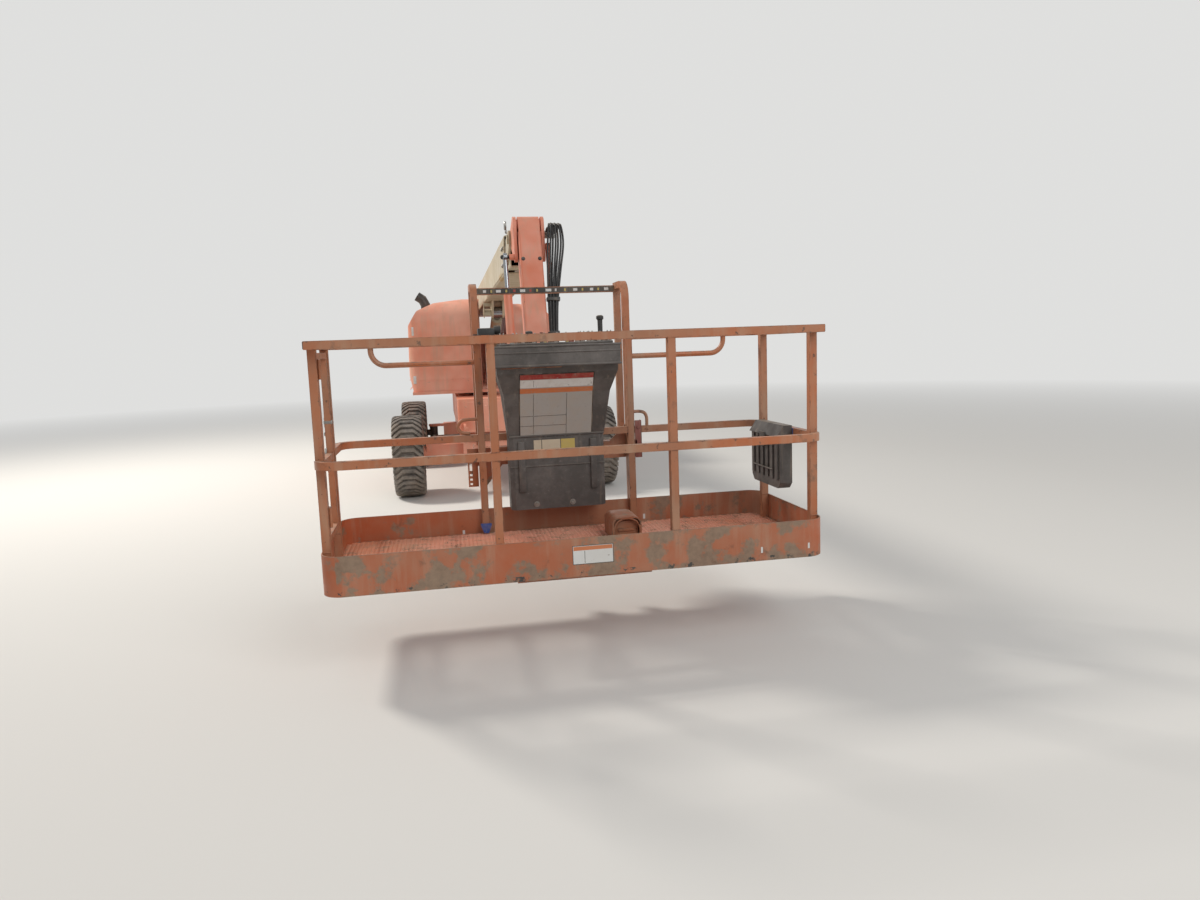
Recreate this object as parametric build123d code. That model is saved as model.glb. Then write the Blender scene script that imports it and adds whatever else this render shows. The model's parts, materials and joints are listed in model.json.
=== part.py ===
from build123d import *
import os
from math import cos, degrees, hypot, pi, radians, sin

# Telescopic boom lift, in millimetres.
# X runs across the machine, the platform is at -Y, the tail at +Y, and Z is up from the ground.
# Sizes along Y are counted from the swing axis; the finished pieces are moved so that
# the origin lies on the ground under the middle of the machine.

# Wheels and axles
WHEELBASE = 2440
TRACK = 1990
TYRE_DIAMETER = 840
TYRE_WIDTH = 310
TYRE_CROWN = 12
DRUM_SIDES = 26
LUG_COUNT = 37
LUG_HEIGHT = 26
LUG_BAR = 40
LUG_SWEEP = 92
LUG_MIDDLE = 60
RIM_DIAMETER = 450
RIM_WIDTH = 250
RIM_WALL = 14
DISH_DEPTH = 40
DISH_RADIUS = 120
DISC_THICKNESS = 16
DISC_INSET = 20
HUB_RADIUS = 90
HUB_LENGTH = 120
AXLE_HEIGHT = 160
AXLE_DEPTH = 170
KINGPIN_INSET = 240
KINGPIN_RADIUS = 52
YOKE_THICKNESS = 28
YOKE_RADIUS = 62
YOKE_LENGTH = 145
BEAM_GAP = 130
SPINDLE_RADIUS = 40
STEER_ARM = 210
STEER_ARM_WIDTH = 60
STEER_ARM_THICKNESS = 24
TIE_ROD_RADIUS = 16
TIE_ROD_EYE_HEIGHT = 38
TIE_ROD_EYE = 30
WHEEL_GAP = 0.3

# Chassis
CHASSIS_HALF_WIDTH = 480
CHASSIS_LENGTH = 3260
CHASSIS_BOTTOM = 665
CHASSIS_TOP = 1000
CHASSIS_WALL = 16
CHASSIS_EDGE = 35
CRADLE_BOTTOM = 400
CRADLE_LENGTH = 460
CRADLE_SLOPE = 95
BEARING_RADIUS = 390
BEARING_BORE = 250
BEARING_HEIGHT = 35
TIE_DOWN_RADIUS = 20
TIE_DOWN_THICKNESS = 24
TIE_DOWN_EYE = 48

# Turntable
DECK_THICKNESS = 30
DECK_LEFT = 925
DECK_RIGHT = 775
DECK_LEFT_FRONT = -1070
DECK_RIGHT_FRONT = -420
BULKHEAD_THICKNESS = 6
BULKHEAD_INSET = 14
UPRIGHT_GAP = 150
UPRIGHT_THICKNESS = 22
COUNTERWEIGHT_FRONT = 1590
TAIL_SWING = 2120
SWEEP_CLEARANCE = 25
COUNTERWEIGHT_TOP = 1700
COUNTERWEIGHT_HALF_WIDTH = 930
COUNTERWEIGHT_EDGE = 90

# Hoods: left over the engine, right over the tanks
HOOD_WALL = 8
HOOD_INNER = 200
HOOD_TOP = 2030
HOOD_EDGE = 110
HOOD_FRONT_RADIUS = 260
HOOD_SIDE_RADIUS = 120
HOOD_GROOVE_Z = 1165
HOOD_GROOVE_HEIGHT = 22
HOOD_GROOVE_DEPTH = 5
HOOD_HINGE_RADIUS = 8
HOOD_HINGE_LENGTH = 900
LEFT_HOOD_OUTER = 950
LEFT_HOOD_FRONT = -1050
RIGHT_HOOD_OUTER = 800
RIGHT_HOOD_FRONT = 150
INTAKE = (-745, -640, 50)
INTAKE_TOP = 2085
INTAKE_LEAN = 85
HOOD_REAR = 1570

# Masses on the deck, as (near X, far X, front Y, rear Y, height)
ENGINE = (310, 760, -500, 850, 655)
TANK = (310, 690, 420, 1350, 585)
CONTROL_CABINET = (300, 700, -330, 60, 495)
MASS_EDGE = 40

# Boom and telescope
BOOM_PIVOT_Y = 1450
BOOM_PIVOT_Z = 2000
BOOM_PIN_RADIUS = 38
BOOM_RISE = 1.1
BASE_WIDTH = 250
BASE_HEIGHT = 275
BASE_WALL = 8
BASE_ABOVE_PIVOT = 70
BASE_TAIL = 190
BASE_LENGTH = 5440
FLY_WIDTH = 206
FLY_HEIGHT = 230
FLY_WALL = 7
FLY_INSIDE = 4950
FLY_OUTSIDE = 240
SLIDE_GAP = 0.4
PAD_LENGTH = 90
FLY_EAR_THICKNESS = 16
TIP_FORWARD = 90
TIP_ABOVE_CENTRE = 60
TIP_PIN_RADIUS = 24
TIP_EYE_RADIUS = 60

# Lift cylinder
LIFT_BASE_Y = 900
LIFT_BASE_Z = 1190
LIFT_EYE_Y = -1100
LIFT_EYE_DROP = 110
LIFT_BARREL_RADIUS = 60
LIFT_BARREL_LENGTH = 1960
LIFT_ROD_RADIUS = 34
LIFT_ROD_LENGTH = 1500
LIFT_EYE_RADIUS = 62
LIFT_EYE_WIDTH = 90
LIFT_PIN_RADIUS = 26
LUG_THICKNESS = 20
LIFT_ANGLE = 69

# Jib
JIB_LENGTH = 1200
JIB_DROOP = 75
JIB_ANGLE = 145
JIB_PIVOT_FORWARD = 190
JIB_PIVOT_UP = 65
JIB_WIDTH = 150
JIB_DEPTH = 150
JIB_WALL = 7
JIB_PLATE_THICKNESS = 22
JIB_PLATE_GAP = 7
JIB_EYE_RADIUS = 58
LINK_DROP = 140
LINK_WIDTH = 50
LINK_THICKNESS = 26
LINK_CLEARANCE = 12
JIB_CYLINDER_DROP = 210
JIB_CYLINDER_FORWARD = 37
JIB_CYLINDER_REACH = 1030
JIB_CYLINDER_X = -165
JIB_BARREL_RADIUS = 28
JIB_BARREL_LENGTH = 560
JIB_ROD_RADIUS = 15
JIB_ROD_LENGTH = 640
JIB_CYLINDER_EYE = 34

# Platform carrier
ROTATOR_FORWARD = 190
ROTATOR_RADIUS = 75
ROTATOR_BOTTOM = 960
ROTATOR_TOP = 1230
CARRIER_PLATE = 20
CARRIER_HALF_WIDTH = 470
CARRIER_BEAM_BOTTOM = 830
CARRIER_BEAM_HEIGHT = 100
CARRIER_BEAM_DEPTH = 80
CARRIER_GUSSET = 95
CARRIER_GUSSET_DROP = 120
CARRIER_GUSSET_THICKNESS = 8

# Platform
BASKET_WIDTH = 2440
BASKET_DEPTH = 910
BASKET_CORNER = 95
ROTATOR_TO_BASKET = 504
TOE_BOTTOM = 400
TOE_HEIGHT = 188
TOE_WALL = 5
FLOOR_TOP = 450
FLOOR_THICKNESS = 14
CROSS_MEMBERS = 6
CROSS_MEMBER_WIDTH = 40
TUBE = 38
RAIL_TOP = 1552
MID_RAIL_TOP = 1016
FRONT_POSTS = (-409, 441)
CORNER_POST_SETBACK = 115
GATE_POST_SETBACK = 525
REAR_POST_SETBACK = 145
MID_RAIL_CORNER = 105
BAY_HALF_WIDTH = 430
BAY_DEPTH = 240
BAY_TOP = 1855
BAY_BEND = 100
BAY_BAR_DROP = 15
GRAB_RADIUS = 15
GRAB_Z = 1420
GRAB_END = 1000
GRAB_BEND = 80
GATE_GAP = 12
GATE_TUBE = 30
GATE_TOP = 1500
GATE_BOTTOM = 625
HINGE_BARREL = 7
HINGE_HEIGHT = 90
HINGE_LEVELS = (700, 1380)

# Things on the platform
CONSOLE_X = -25
CONSOLE_WIDTH = 670
CONSOLE_DEPTH = 330
CONSOLE_BOW = 35
CONSOLE_FOOT_WIDTH = 530
CONSOLE_FOOT_DEPTH = 150
CONSOLE_TOP = 1500
CONSOLE_LIP = 110
CONSOLE_SWOOP = 1245
CONSOLE_WAIST = 1010
CONSOLE_BOTTOM = 600
CONSOLE_EDGE = 12
FOOT_SWITCH_X = 300
FOOT_SWITCH_SETBACK = 330
FOOT_SWITCH_WIDTH = 160
FOOT_SWITCH_DEPTH = 220
FOOT_SWITCH_HEIGHT = 120
FOOT_SWITCH_WALL = 8
DOCUMENT_BOX_SETBACK = 182
DOCUMENT_BOX_WIDTH = 400
DOCUMENT_BOX_DEPTH = 78
DOCUMENT_BOX_HEIGHT = 340
DOCUMENT_BOX_BOTTOM = 690
DOCUMENT_BOX_RIBS = 6
DOCUMENT_BOX_RIB_DEPTH = 8
DOCUMENT_BOX_LID = 60

# Frame under the floor
UNDER_FRAME_DEPTH = 26
UNDER_FRAME_WIDTH = 60
UNDER_FRAME_FRONT_HALF = 330
UNDER_FRAME_REAR_HALF = 130
UNDER_FRAME_FRONT_GAP = 70

# Derived places
WHEEL_RADIUS = TYRE_DIAMETER / 2
DRIVE_Y = -WHEELBASE / 2
STEER_Y = WHEELBASE / 2
WHEEL_X = TRACK / 2
KINGPIN_X = WHEEL_X - KINGPIN_INSET
BEARING_TOP = CHASSIS_TOP + BEARING_HEIGHT
COUNTERWEIGHT_BOTTOM = CHASSIS_TOP + SWEEP_CLEARANCE
DECK_BOTTOM = BEARING_TOP + WHEEL_GAP
DECK_TOP = DECK_BOTTOM + DECK_THICKNESS
DECK_REAR = COUNTERWEIGHT_FRONT
HOOD_BASE = DECK_TOP + WHEEL_GAP
HOOD_HINGE_X = HOOD_INNER - HOOD_HINGE_RADIUS - WHEEL_GAP
HOOD_HINGE_Z = HOOD_TOP - HOOD_WALL
BOOM_CENTRE_Z = BOOM_PIVOT_Z + BASE_ABOVE_PIVOT
BASE_REAR_Y = BOOM_PIVOT_Y + BASE_TAIL
BASE_MOUTH_Y = BASE_REAR_Y - BASE_LENGTH
FLY_END_Y = BASE_MOUTH_Y - FLY_OUTSIDE


def raised_point(y, z):
    """A point of the level boom, turned about the boom pivot to the stored boom's rise."""
    turn = radians(BOOM_RISE)
    dy = y - BOOM_PIVOT_Y
    dz = z - BOOM_PIVOT_Z
    return (BOOM_PIVOT_Y + dy * cos(turn) + dz * sin(turn), BOOM_PIVOT_Z - dy * sin(turn) + dz * cos(turn))


TIP = raised_point(FLY_END_Y - TIP_FORWARD, BOOM_CENTRE_Z + TIP_ABOVE_CENTRE)
JIB_TOP = (TIP[0] - JIB_PIVOT_FORWARD, TIP[1] + JIB_PIVOT_UP)
JIB_ALONG = (-cos(radians(JIB_DROOP)), -sin(radians(JIB_DROOP)))
JIB_FOOT = (JIB_TOP[0] + JIB_LENGTH * JIB_ALONG[0], JIB_TOP[1] + JIB_LENGTH * JIB_ALONG[1])
LINK_TOP = (JIB_TOP[0], JIB_TOP[1] - LINK_DROP)
LINK_FOOT = (JIB_FOOT[0], JIB_FOOT[1] - LINK_DROP)
JIB_ROD_EYE = (JIB_TOP[0] - JIB_CYLINDER_FORWARD, JIB_TOP[1] - JIB_CYLINDER_DROP)
JIB_BARREL_EYE = (
    JIB_TOP[0] + JIB_CYLINDER_REACH * JIB_ALONG[0],
    JIB_TOP[1] + JIB_CYLINDER_REACH * JIB_ALONG[1],
)
ROTATOR_Y = JIB_FOOT[0] - ROTATOR_FORWARD
BASKET_REAR = ROTATOR_TO_BASKET - ROTATOR_Y
BASKET_FRONT = BASKET_REAR + BASKET_DEPTH
SWING_Y = (BASKET_FRONT - TAIL_SWING) / 2
LIFT_BASE = (LIFT_BASE_Y, LIFT_BASE_Z)
LIFT_EYE = raised_point(LIFT_EYE_Y, BOOM_CENTRE_Z - BASE_HEIGHT / 2 - LIFT_EYE_DROP)


def block(x0, x1, y0, y1, z0, z1):
    """A box given by its two limits along each axis."""
    return Pos((x0 + x1) / 2, (y0 + y1) / 2, (z0 + z1) / 2) * Box(abs(x1 - x0), abs(y1 - y0), abs(z1 - z0))


def pin_x(y, z, radius, x0, x1):
    """A round bar across the machine."""
    return Pos((x0 + x1) / 2, y, z) * Rot(0, 90, 0) * Cylinder(radius, abs(x1 - x0))


def pin_z(x, y, radius, z0, z1):
    """An upright round bar."""
    return Pos(x, y, (z0 + z1) / 2) * Cylinder(radius, abs(z1 - z0))


def hull_plate(circles, x0, x1):
    """A flat plate whose outline wraps tightly round circles given as (y, z, radius)."""
    rings = Sketch() + [Pos(y, z) * Circle(radius) for y, z, radius in circles]
    outline = make_hull(rings.edges())
    return extrude(Plane.YZ.offset(min(x0, x1)) * outline, amount=abs(x1 - x0), dir=(1, 0, 0))


def bar_between(start, end, radius, x):
    """A round bar in the plane at x, from one (y, z) point to another."""
    run = hypot(end[0] - start[0], end[1] - start[1])
    direction = ((end[0] - start[0]) / run, (end[1] - start[1]) / run)
    foot = Plane(origin=(x, start[0], start[1]), z_dir=(0, direction[0], direction[1]))
    return extrude(foot * Circle(radius), amount=run)


def along(start, end, distance):
    """The point at a distance from start on the line to end, all as (y, z)."""
    run = hypot(end[0] - start[0], end[1] - start[1])
    return (start[0] + (end[0] - start[0]) * distance / run, start[1] + (end[1] - start[1]) * distance / run)


def raised(shape):
    """A piece of the level boom, turned about the boom pivot to the stored boom's rise."""
    return shape.rotate(Axis((0, BOOM_PIVOT_Y, BOOM_PIVOT_Z), (1, 0, 0)), -BOOM_RISE)


def drum(levels):
    """A drum of flat faces about the X axis, through rows of (x, distance from the axis to a flat)."""
    rings = [drum_ring(x, flat) for x, flat in levels]
    faces = [Face(Wire.make_polygon(ring)) for ring in (rings[0], rings[-1])]
    for ring, following in zip(rings, rings[1:]):
        for index in range(DRUM_SIDES):
            after = (index + 1) % DRUM_SIDES
            corners = [ring[index], ring[after], following[after], following[index]]
            faces.append(Face(Wire.make_polygon(corners)))
    return Solid(Shell(faces))


def drum_ring(x, flat):
    """The corners of a drum at one place along the axis, with a flat towards +Y."""
    step = 2 * pi / DRUM_SIDES
    corner = flat / cos(step / 2)
    turns = [(index + 0.5) * step for index in range(DRUM_SIDES)]
    return [Vector(x, corner * cos(turn), corner * sin(turn)) for turn in turns]


def tread():
    """The tyre's body: lugs with a flat middle and arms that slant back, and the grooves between them."""
    half = TYRE_WIDTH / 2
    # place along the axis, set-back of the lugs there, drop below the full radius
    rows = [(-half, LUG_SWEEP, TYRE_CROWN), (-LUG_MIDDLE, 0, 0), (LUG_MIDDLE, 0, 0), (half, LUG_SWEEP, TYRE_CROWN)]
    outlines = [tread_outline(x, setback, drop) for x, setback, drop in rows]
    faces = [Face(Wire.make_polygon(outline)) for outline in (outlines[0], outlines[-1])]
    for outline, following in zip(outlines, outlines[1:]):
        for index, corner in enumerate(outline):
            after = (index + 1) % len(outline)
            faces.append(Face(Wire.make_polygon([corner, outline[after], following[after]])))
            faces.append(Face(Wire.make_polygon([corner, following[after], following[index]])))
    return Solid(Shell(faces))


def tread_outline(x, setback, drop):
    """The corners of the lugs and grooves at one place along the axis, with a lug towards +Y."""
    crest = WHEEL_RADIUS - drop
    root = crest - LUG_HEIGHT
    corners = []
    for index in range(LUG_COUNT):
        middle = 2 * pi * index / LUG_COUNT + setback / WHEEL_RADIUS
        back = middle - lug_half_angle()
        front = middle + lug_half_angle()
        for turn, distance in ((back, root), (back, crest), (front, crest), (front, root)):
            corners.append(Vector(x, distance * cos(turn), distance * sin(turn)))
    return corners


def lug_half_angle():
    """Half of the angle that a lug's bar takes up around the axle."""
    return LUG_BAR / 2 / WHEEL_RADIUS


def tyre(side, wheel_y):
    """A pneumatic tyre with arched lugs."""
    half = TYRE_WIDTH / 2
    seat = RIM_DIAMETER / 2
    bead = RIM_WIDTH / 2
    flank = (seat + WHEEL_RADIUS - TYRE_CROWN - LUG_HEIGHT) / 2
    ring = tread() - drum([(-half - 1, seat), (half + 1, seat)])
    for end in (-1, 1):
        ring = ring - drum([(end * bead, seat), (end * half, flank)])
    return wheel_place(side, wheel_y) * ring


def wheel_place(side, wheel_y):
    """Place of a wheel, turned so that the corners of one lug stand on the ground."""
    lean = degrees(lug_half_angle())
    return Pos(side * WHEEL_X, wheel_y, WHEEL_RADIUS) * Rot(lean - 90, 0, 0)


def rim(side, wheel_y):
    """A dished steel wheel with its hub, seated in the tyre."""
    outer = RIM_DIAMETER / 2
    half = RIM_WIDTH / 2
    barrel = drum([(-half, outer), (half, outer)]) - drum([(-half - 1, outer - RIM_WALL), (half + 1, outer - RIM_WALL)])
    lip = side * (half - DISC_INSET)
    floor = lip - side * DISH_DEPTH
    wall = side * DISC_THICKNESS
    cone = drum([(floor - wall, DISH_RADIUS), (lip, outer - RIM_WALL / 2)])
    cone = cone - drum([(floor, DISH_RADIUS), (lip + wall, outer - RIM_WALL / 2)])
    inner_end = side * (half - DISC_INSET - HUB_LENGTH)
    hub = Pos((inner_end + floor) / 2, 0, 0) * Rot(0, 90, 0) * Cylinder(HUB_RADIUS, abs(floor - inner_end))
    return wheel_place(side, wheel_y) * (barrel + cone + hub)


def hub_face():
    """Distance from the machine's middle to the inner face of a hub."""
    return WHEEL_X + RIM_WIDTH / 2 - DISC_INSET - HUB_LENGTH


def chassis_frame():
    """Open-bottomed main box with a cradle at each axle and tie-down lugs at its corners."""
    half_length = CHASSIS_LENGTH / 2
    shell = block(-CHASSIS_HALF_WIDTH, CHASSIS_HALF_WIDTH, -half_length, half_length, CHASSIS_BOTTOM, CHASSIS_TOP)
    shell = fillet(shell.edges().filter_by(Axis.Z), CHASSIS_EDGE)
    wall = CHASSIS_WALL
    hollow = block(-CHASSIS_HALF_WIDTH + wall, CHASSIS_HALF_WIDTH - wall, -half_length + wall,
                   half_length - wall, CHASSIS_BOTTOM - 1, CHASSIS_TOP - wall)
    shell = shell - hollow
    for wheel_y in (DRIVE_Y, STEER_Y):
        shell = shell + cradle(wheel_y)
    for side in (-1, 1):
        for end in (-1, 1):
            shell = shell + tie_down_lug(side, end)
    return shell


def cradle(wheel_y):
    """Saddle over an axle, with sloping front and back."""
    reach = CRADLE_LENGTH / 2
    roof = CHASSIS_BOTTOM + CHASSIS_WALL
    low = axle_top()
    side = make_face(Polyline((wheel_y - reach, low), (wheel_y + reach, low), (wheel_y + reach - CRADLE_SLOPE, roof),
                              (wheel_y - reach + CRADLE_SLOPE, roof), close=True))
    half = CHASSIS_HALF_WIDTH - CHASSIS_WALL
    return extrude(Plane.YZ.offset(-half) * side, amount=2 * half)


def axle_top():
    return WHEEL_RADIUS + AXLE_HEIGHT / 2 + 40


def tie_down_lug(side, end):
    """A plate with an eye, standing out of the chassis end below its corner."""
    x = side * (CHASSIS_HALF_WIDTH - CHASSIS_EDGE - TIE_DOWN_THICKNESS)
    y = end * CHASSIS_LENGTH / 2
    z = CHASSIS_BOTTOM + TIE_DOWN_EYE
    plate = hull_plate([(y, z, TIE_DOWN_EYE), (y + end * TIE_DOWN_EYE, z, TIE_DOWN_EYE)],
                       x - TIE_DOWN_THICKNESS / 2, x + TIE_DOWN_THICKNESS / 2)
    inside = block(x - TIE_DOWN_THICKNESS, x + TIE_DOWN_THICKNESS, y - end * CHASSIS_WALL,
                   y - end * 3 * TIE_DOWN_EYE, z - 2 * TIE_DOWN_EYE, z + 2 * TIE_DOWN_EYE)
    hole = pin_x(y + end * TIE_DOWN_EYE, z, TIE_DOWN_RADIUS, x - TIE_DOWN_THICKNESS, x + TIE_DOWN_THICKNESS)
    return plate - inside - hole


def drive_axle():
    """Rigid box axle with a round hub at each end."""
    top = axle_top()
    reach = KINGPIN_X + YOKE_RADIUS
    beam = block(-reach, reach, DRIVE_Y - AXLE_DEPTH / 2, DRIVE_Y + AXLE_DEPTH / 2, top - AXLE_HEIGHT, top)
    beam = chamfer(beam.edges().filter_by(Axis.X), 16)
    centre = block(-CHASSIS_HALF_WIDTH + 40, CHASSIS_HALF_WIDTH - 40, DRIVE_Y - CRADLE_LENGTH / 2,
                   DRIVE_Y - AXLE_DEPTH / 2, CRADLE_BOTTOM, top)
    beam = beam + centre
    for side in (-1, 1):
        beam = beam + pin_x(DRIVE_Y, WHEEL_RADIUS, HUB_RADIUS, side * (reach - 20), side * (hub_face() - WHEEL_GAP))
    return beam


def steer_axle():
    """Axle beam with a yoke at each end that holds a kingpin."""
    z = WHEEL_RADIUS
    half_height = AXLE_HEIGHT / 2
    beam = block(-KINGPIN_X + BEAM_GAP, KINGPIN_X - BEAM_GAP, STEER_Y - AXLE_DEPTH / 2,
                 STEER_Y + AXLE_DEPTH / 2, z - half_height - YOKE_THICKNESS, axle_top())
    for side in (-1, 1):
        for level in (-1, 1):
            near = z + level * half_height
            far = near + level * YOKE_THICKNESS
            arm = pin_z(side * KINGPIN_X, STEER_Y, YOKE_RADIUS, near, far)
            arm = arm + block(side * (KINGPIN_X - YOKE_LENGTH), side * KINGPIN_X, STEER_Y - YOKE_RADIUS,
                              STEER_Y + YOKE_RADIUS, near, far)
            beam = beam + arm
    return beam


def knuckle(side):
    """Kingpin barrel with the wheel spindle and the steering arm."""
    z = WHEEL_RADIUS
    half = AXLE_HEIGHT / 2 - WHEEL_GAP
    x = side * KINGPIN_X
    body = pin_z(x, STEER_Y, KINGPIN_RADIUS, z - half, z + half)
    body = body + pin_x(STEER_Y, z, SPINDLE_RADIUS, x, side * (hub_face() - WHEEL_GAP))
    arm_z = z - half + STEER_ARM_THICKNESS / 2
    arm = block(x - STEER_ARM_WIDTH / 2, x + STEER_ARM_WIDTH / 2, STEER_Y - STEER_ARM, STEER_Y,
                arm_z - STEER_ARM_THICKNESS / 2, arm_z + STEER_ARM_THICKNESS / 2)
    arm = arm + pin_z(x, STEER_Y - STEER_ARM, STEER_ARM_WIDTH / 2, arm_z - STEER_ARM_THICKNESS / 2,
                      arm_z + STEER_ARM_THICKNESS / 2)
    return body + arm


def tie_rod():
    """Straight rod above the two steering arms, with an eye at each end."""
    top = WHEEL_RADIUS - AXLE_HEIGHT / 2 + WHEEL_GAP + STEER_ARM_THICKNESS
    low = top + WHEEL_GAP
    high = low + TIE_ROD_EYE_HEIGHT
    y = STEER_Y - STEER_ARM
    rod = pin_x(y, (low + high) / 2, TIE_ROD_RADIUS, -KINGPIN_X, KINGPIN_X)
    for side in (-1, 1):
        rod = rod + pin_z(side * KINGPIN_X, y, TIE_ROD_EYE, low, high)
    return rod


def swing_bearing():
    """Toothed-ring bearing between the chassis and the turntable, as a plain ring."""
    ring = Cylinder(BEARING_RADIUS, BEARING_HEIGHT) - Cylinder(BEARING_BORE, BEARING_HEIGHT + 2)
    return Pos(0, 0, CHASSIS_TOP + BEARING_HEIGHT / 2) * ring


def turntable_deck():
    """Deck plate with the two uprights that carry the boom and the lugs of the lift cylinder."""
    deck = block(-DECK_LEFT, 0, DECK_LEFT_FRONT, DECK_REAR, DECK_BOTTOM, DECK_TOP)
    deck = deck + block(0, DECK_RIGHT, DECK_RIGHT_FRONT, DECK_REAR, DECK_BOTTOM, DECK_TOP)
    for side, front in ((-1, LEFT_HOOD_FRONT), (1, RIGHT_HOOD_FRONT)):
        deck = deck + bulkhead(side, front)
    pivot = (BOOM_PIVOT_Y, BOOM_PIVOT_Z)
    for side in (-1, 1):
        inner = side * UPRIGHT_GAP
        outer = side * (UPRIGHT_GAP + UPRIGHT_THICKNESS)
        plate = hull_plate([(pivot[0], pivot[1], 90), (pivot[0] - 380, DECK_BOTTOM + 40, 35),
                            (DECK_REAR - 40, DECK_BOTTOM + 40, 35)], inner, outer)
        plate = plate + pin_x(pivot[0], pivot[1], 62, inner, side * (BASE_WIDTH / 2 + WHEEL_GAP))
        plate = plate + pin_x(pivot[0], pivot[1], BOOM_PIN_RADIUS + 8, outer, outer + side * 14)
        deck = deck + plate
        lug_in = side * (LIFT_EYE_WIDTH / 2 + WHEEL_GAP)
        lug_out = lug_in + side * LUG_THICKNESS
        lug = hull_plate([(LIFT_BASE_Y, LIFT_BASE_Z, LIFT_EYE_RADIUS), (LIFT_BASE_Y - 90, DECK_TOP, 10),
                          (LIFT_BASE_Y + 90, DECK_TOP, 10)], lug_in, lug_out)
        lug = lug + pin_x(LIFT_BASE_Y, LIFT_BASE_Z, LIFT_PIN_RADIUS + 8, lug_out, lug_out + side * 14)
        deck = deck + lug
    return deck


def bulkhead(side, front):
    """Sheet along the inner side of a hood, with the hood's hinge bar along its top."""
    inner = side * (HOOD_INNER - BULKHEAD_INSET)
    outer = inner + side * BULKHEAD_THICKNESS
    sheet = block(inner, outer, front + HOOD_EDGE, HOOD_REAR - HOOD_WALL, DECK_BOTTOM, HOOD_HINGE_Z)
    middle = (front + HOOD_REAR) / 2
    hinge = Pos(side * HOOD_HINGE_X, middle, HOOD_HINGE_Z) * Rot(90, 0, 0) * Cylinder(HOOD_HINGE_RADIUS,
                                                                                    HOOD_HINGE_LENGTH)
    return sheet + hinge


def counterweight():
    """Cast tail weight with a round back and sloping top edges."""
    width = COUNTERWEIGHT_HALF_WIDTH
    body = block(-width, width, COUNTERWEIGHT_FRONT, TAIL_SWING, COUNTERWEIGHT_BOTTOM, COUNTERWEIGHT_TOP)
    back = fillet(body.edges().filter_by(Axis.Z).sort_by(Axis.Y)[-2:], 240)
    top = back.edges().filter_by(Plane.XY).group_by(Axis.Z)[-1]
    return chamfer(top.sort_by(Axis.Y)[1:], COUNTERWEIGHT_EDGE / 3)


def hood_form(outer, front, rear, inset):
    """The closed form of a hood on the +X side; inset shrinks its walls for the inside."""
    low = HOOD_BASE - inset * 3
    top = HOOD_TOP - inset
    shoulder = outer - inset
    section = make_face(Polyline(
        (HOOD_INNER - inset, low), (shoulder - 35, low), (shoulder, HOOD_BASE + 180),
        (shoulder - 15, HOOD_TOP - 270), (shoulder - 110, top - 120), (shoulder - 290, top - 40),
        (HOOD_INNER + 150, top), (HOOD_INNER - inset, top), close=True))
    corners = section.vertices().group_by(Axis.Y)[2:-1]
    section = fillet([corner for group in corners for corner in group], 60)
    plane = Plane(origin=(0, front + inset, 0), x_dir=(1, 0, 0), z_dir=(0, -1, 0))
    body = extrude(plane * section, amount=rear - front - 2 * inset, dir=(0, 1, 0))
    round_front = HOOD_FRONT_RADIUS - inset
    profile = rounded_corner(front + inset, rear, low, top, round_front)
    body = body & extrude(Plane.YZ * profile, amount=outer + 1)
    plan = rounded_side(front + inset, rear - inset, shoulder, HOOD_SIDE_RADIUS - inset)
    return body & extrude(plan, amount=HOOD_TOP + 1)


def rounded_corner(y0, y1, z0, z1, radius):
    """Side view of a hood, with a large round between its front and its top."""
    face = make_face(Polyline((y0, z0), (y1, z0), (y1, z1), (y0, z1), close=True))
    corner = face.vertices().sort_by(Axis.X)[:2].sort_by(Axis.Y)[-1]
    return fillet(corner, radius)


def rounded_side(y0, y1, x1, radius):
    """Plan of a hood on the +X side, with its outer front corner rounded."""
    face = make_face(Polyline((0, y0), (x1, y0), (x1, y1), (0, y1), close=True))
    corner = face.vertices().sort_by(Axis.Y)[:2].sort_by(Axis.X)[-1]
    return fillet(corner, radius)


def hood_solid(side, outer, front):
    """The closed outer form of a hood on either side."""
    form = hood_form(outer, front, HOOD_REAR, 0)
    return mirror(form, about=Plane.YZ) if side < 0 else form


def hood(side, outer, front):
    """Moulded hood, open below and towards the boom, with a groove round its foot."""
    inside = hood_form(outer, front, HOOD_REAR, HOOD_WALL)
    if side < 0:
        inside = mirror(inside, about=Plane.YZ)
    shell = hood_solid(side, outer, front) - inside
    depth = HOOD_GROOVE_DEPTH
    groove = Pos(0, 0, HOOD_GROOVE_Z) * extrude(
        rounded_side(front - 1, HOOD_REAR - HOOD_SIDE_RADIUS, outer + 50, HOOD_SIDE_RADIUS)
        - rounded_side(front + depth, HOOD_REAR, outer - 4 * depth, HOOD_SIDE_RADIUS - depth),
        amount=HOOD_GROOVE_HEIGHT)
    groove = groove & block(HOOD_INNER + HOOD_SIDE_RADIUS, outer + 60, front - 1, front + depth + 1, 0, HOOD_TOP)
    return shell - (mirror(groove, about=Plane.YZ) if side < 0 else groove)


def engine_block():
    """The engine as one plain mass on the deck."""
    near, far, front, rear, height = ENGINE
    engine = block(-far, -near, front, rear, DECK_TOP, DECK_TOP + height)
    return fillet(engine.edges().filter_by(Axis.Y).group_by(Axis.Z)[-1], MASS_EDGE)


def hydraulic_tank():
    """Fuel and oil tank under the right hood."""
    near, far, front, rear, height = TANK
    tank = block(near, far, front, rear, DECK_TOP, DECK_TOP + height)
    return fillet(tank.edges().filter_by(Axis.Y).group_by(Axis.Z)[-1], MASS_EDGE)


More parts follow.
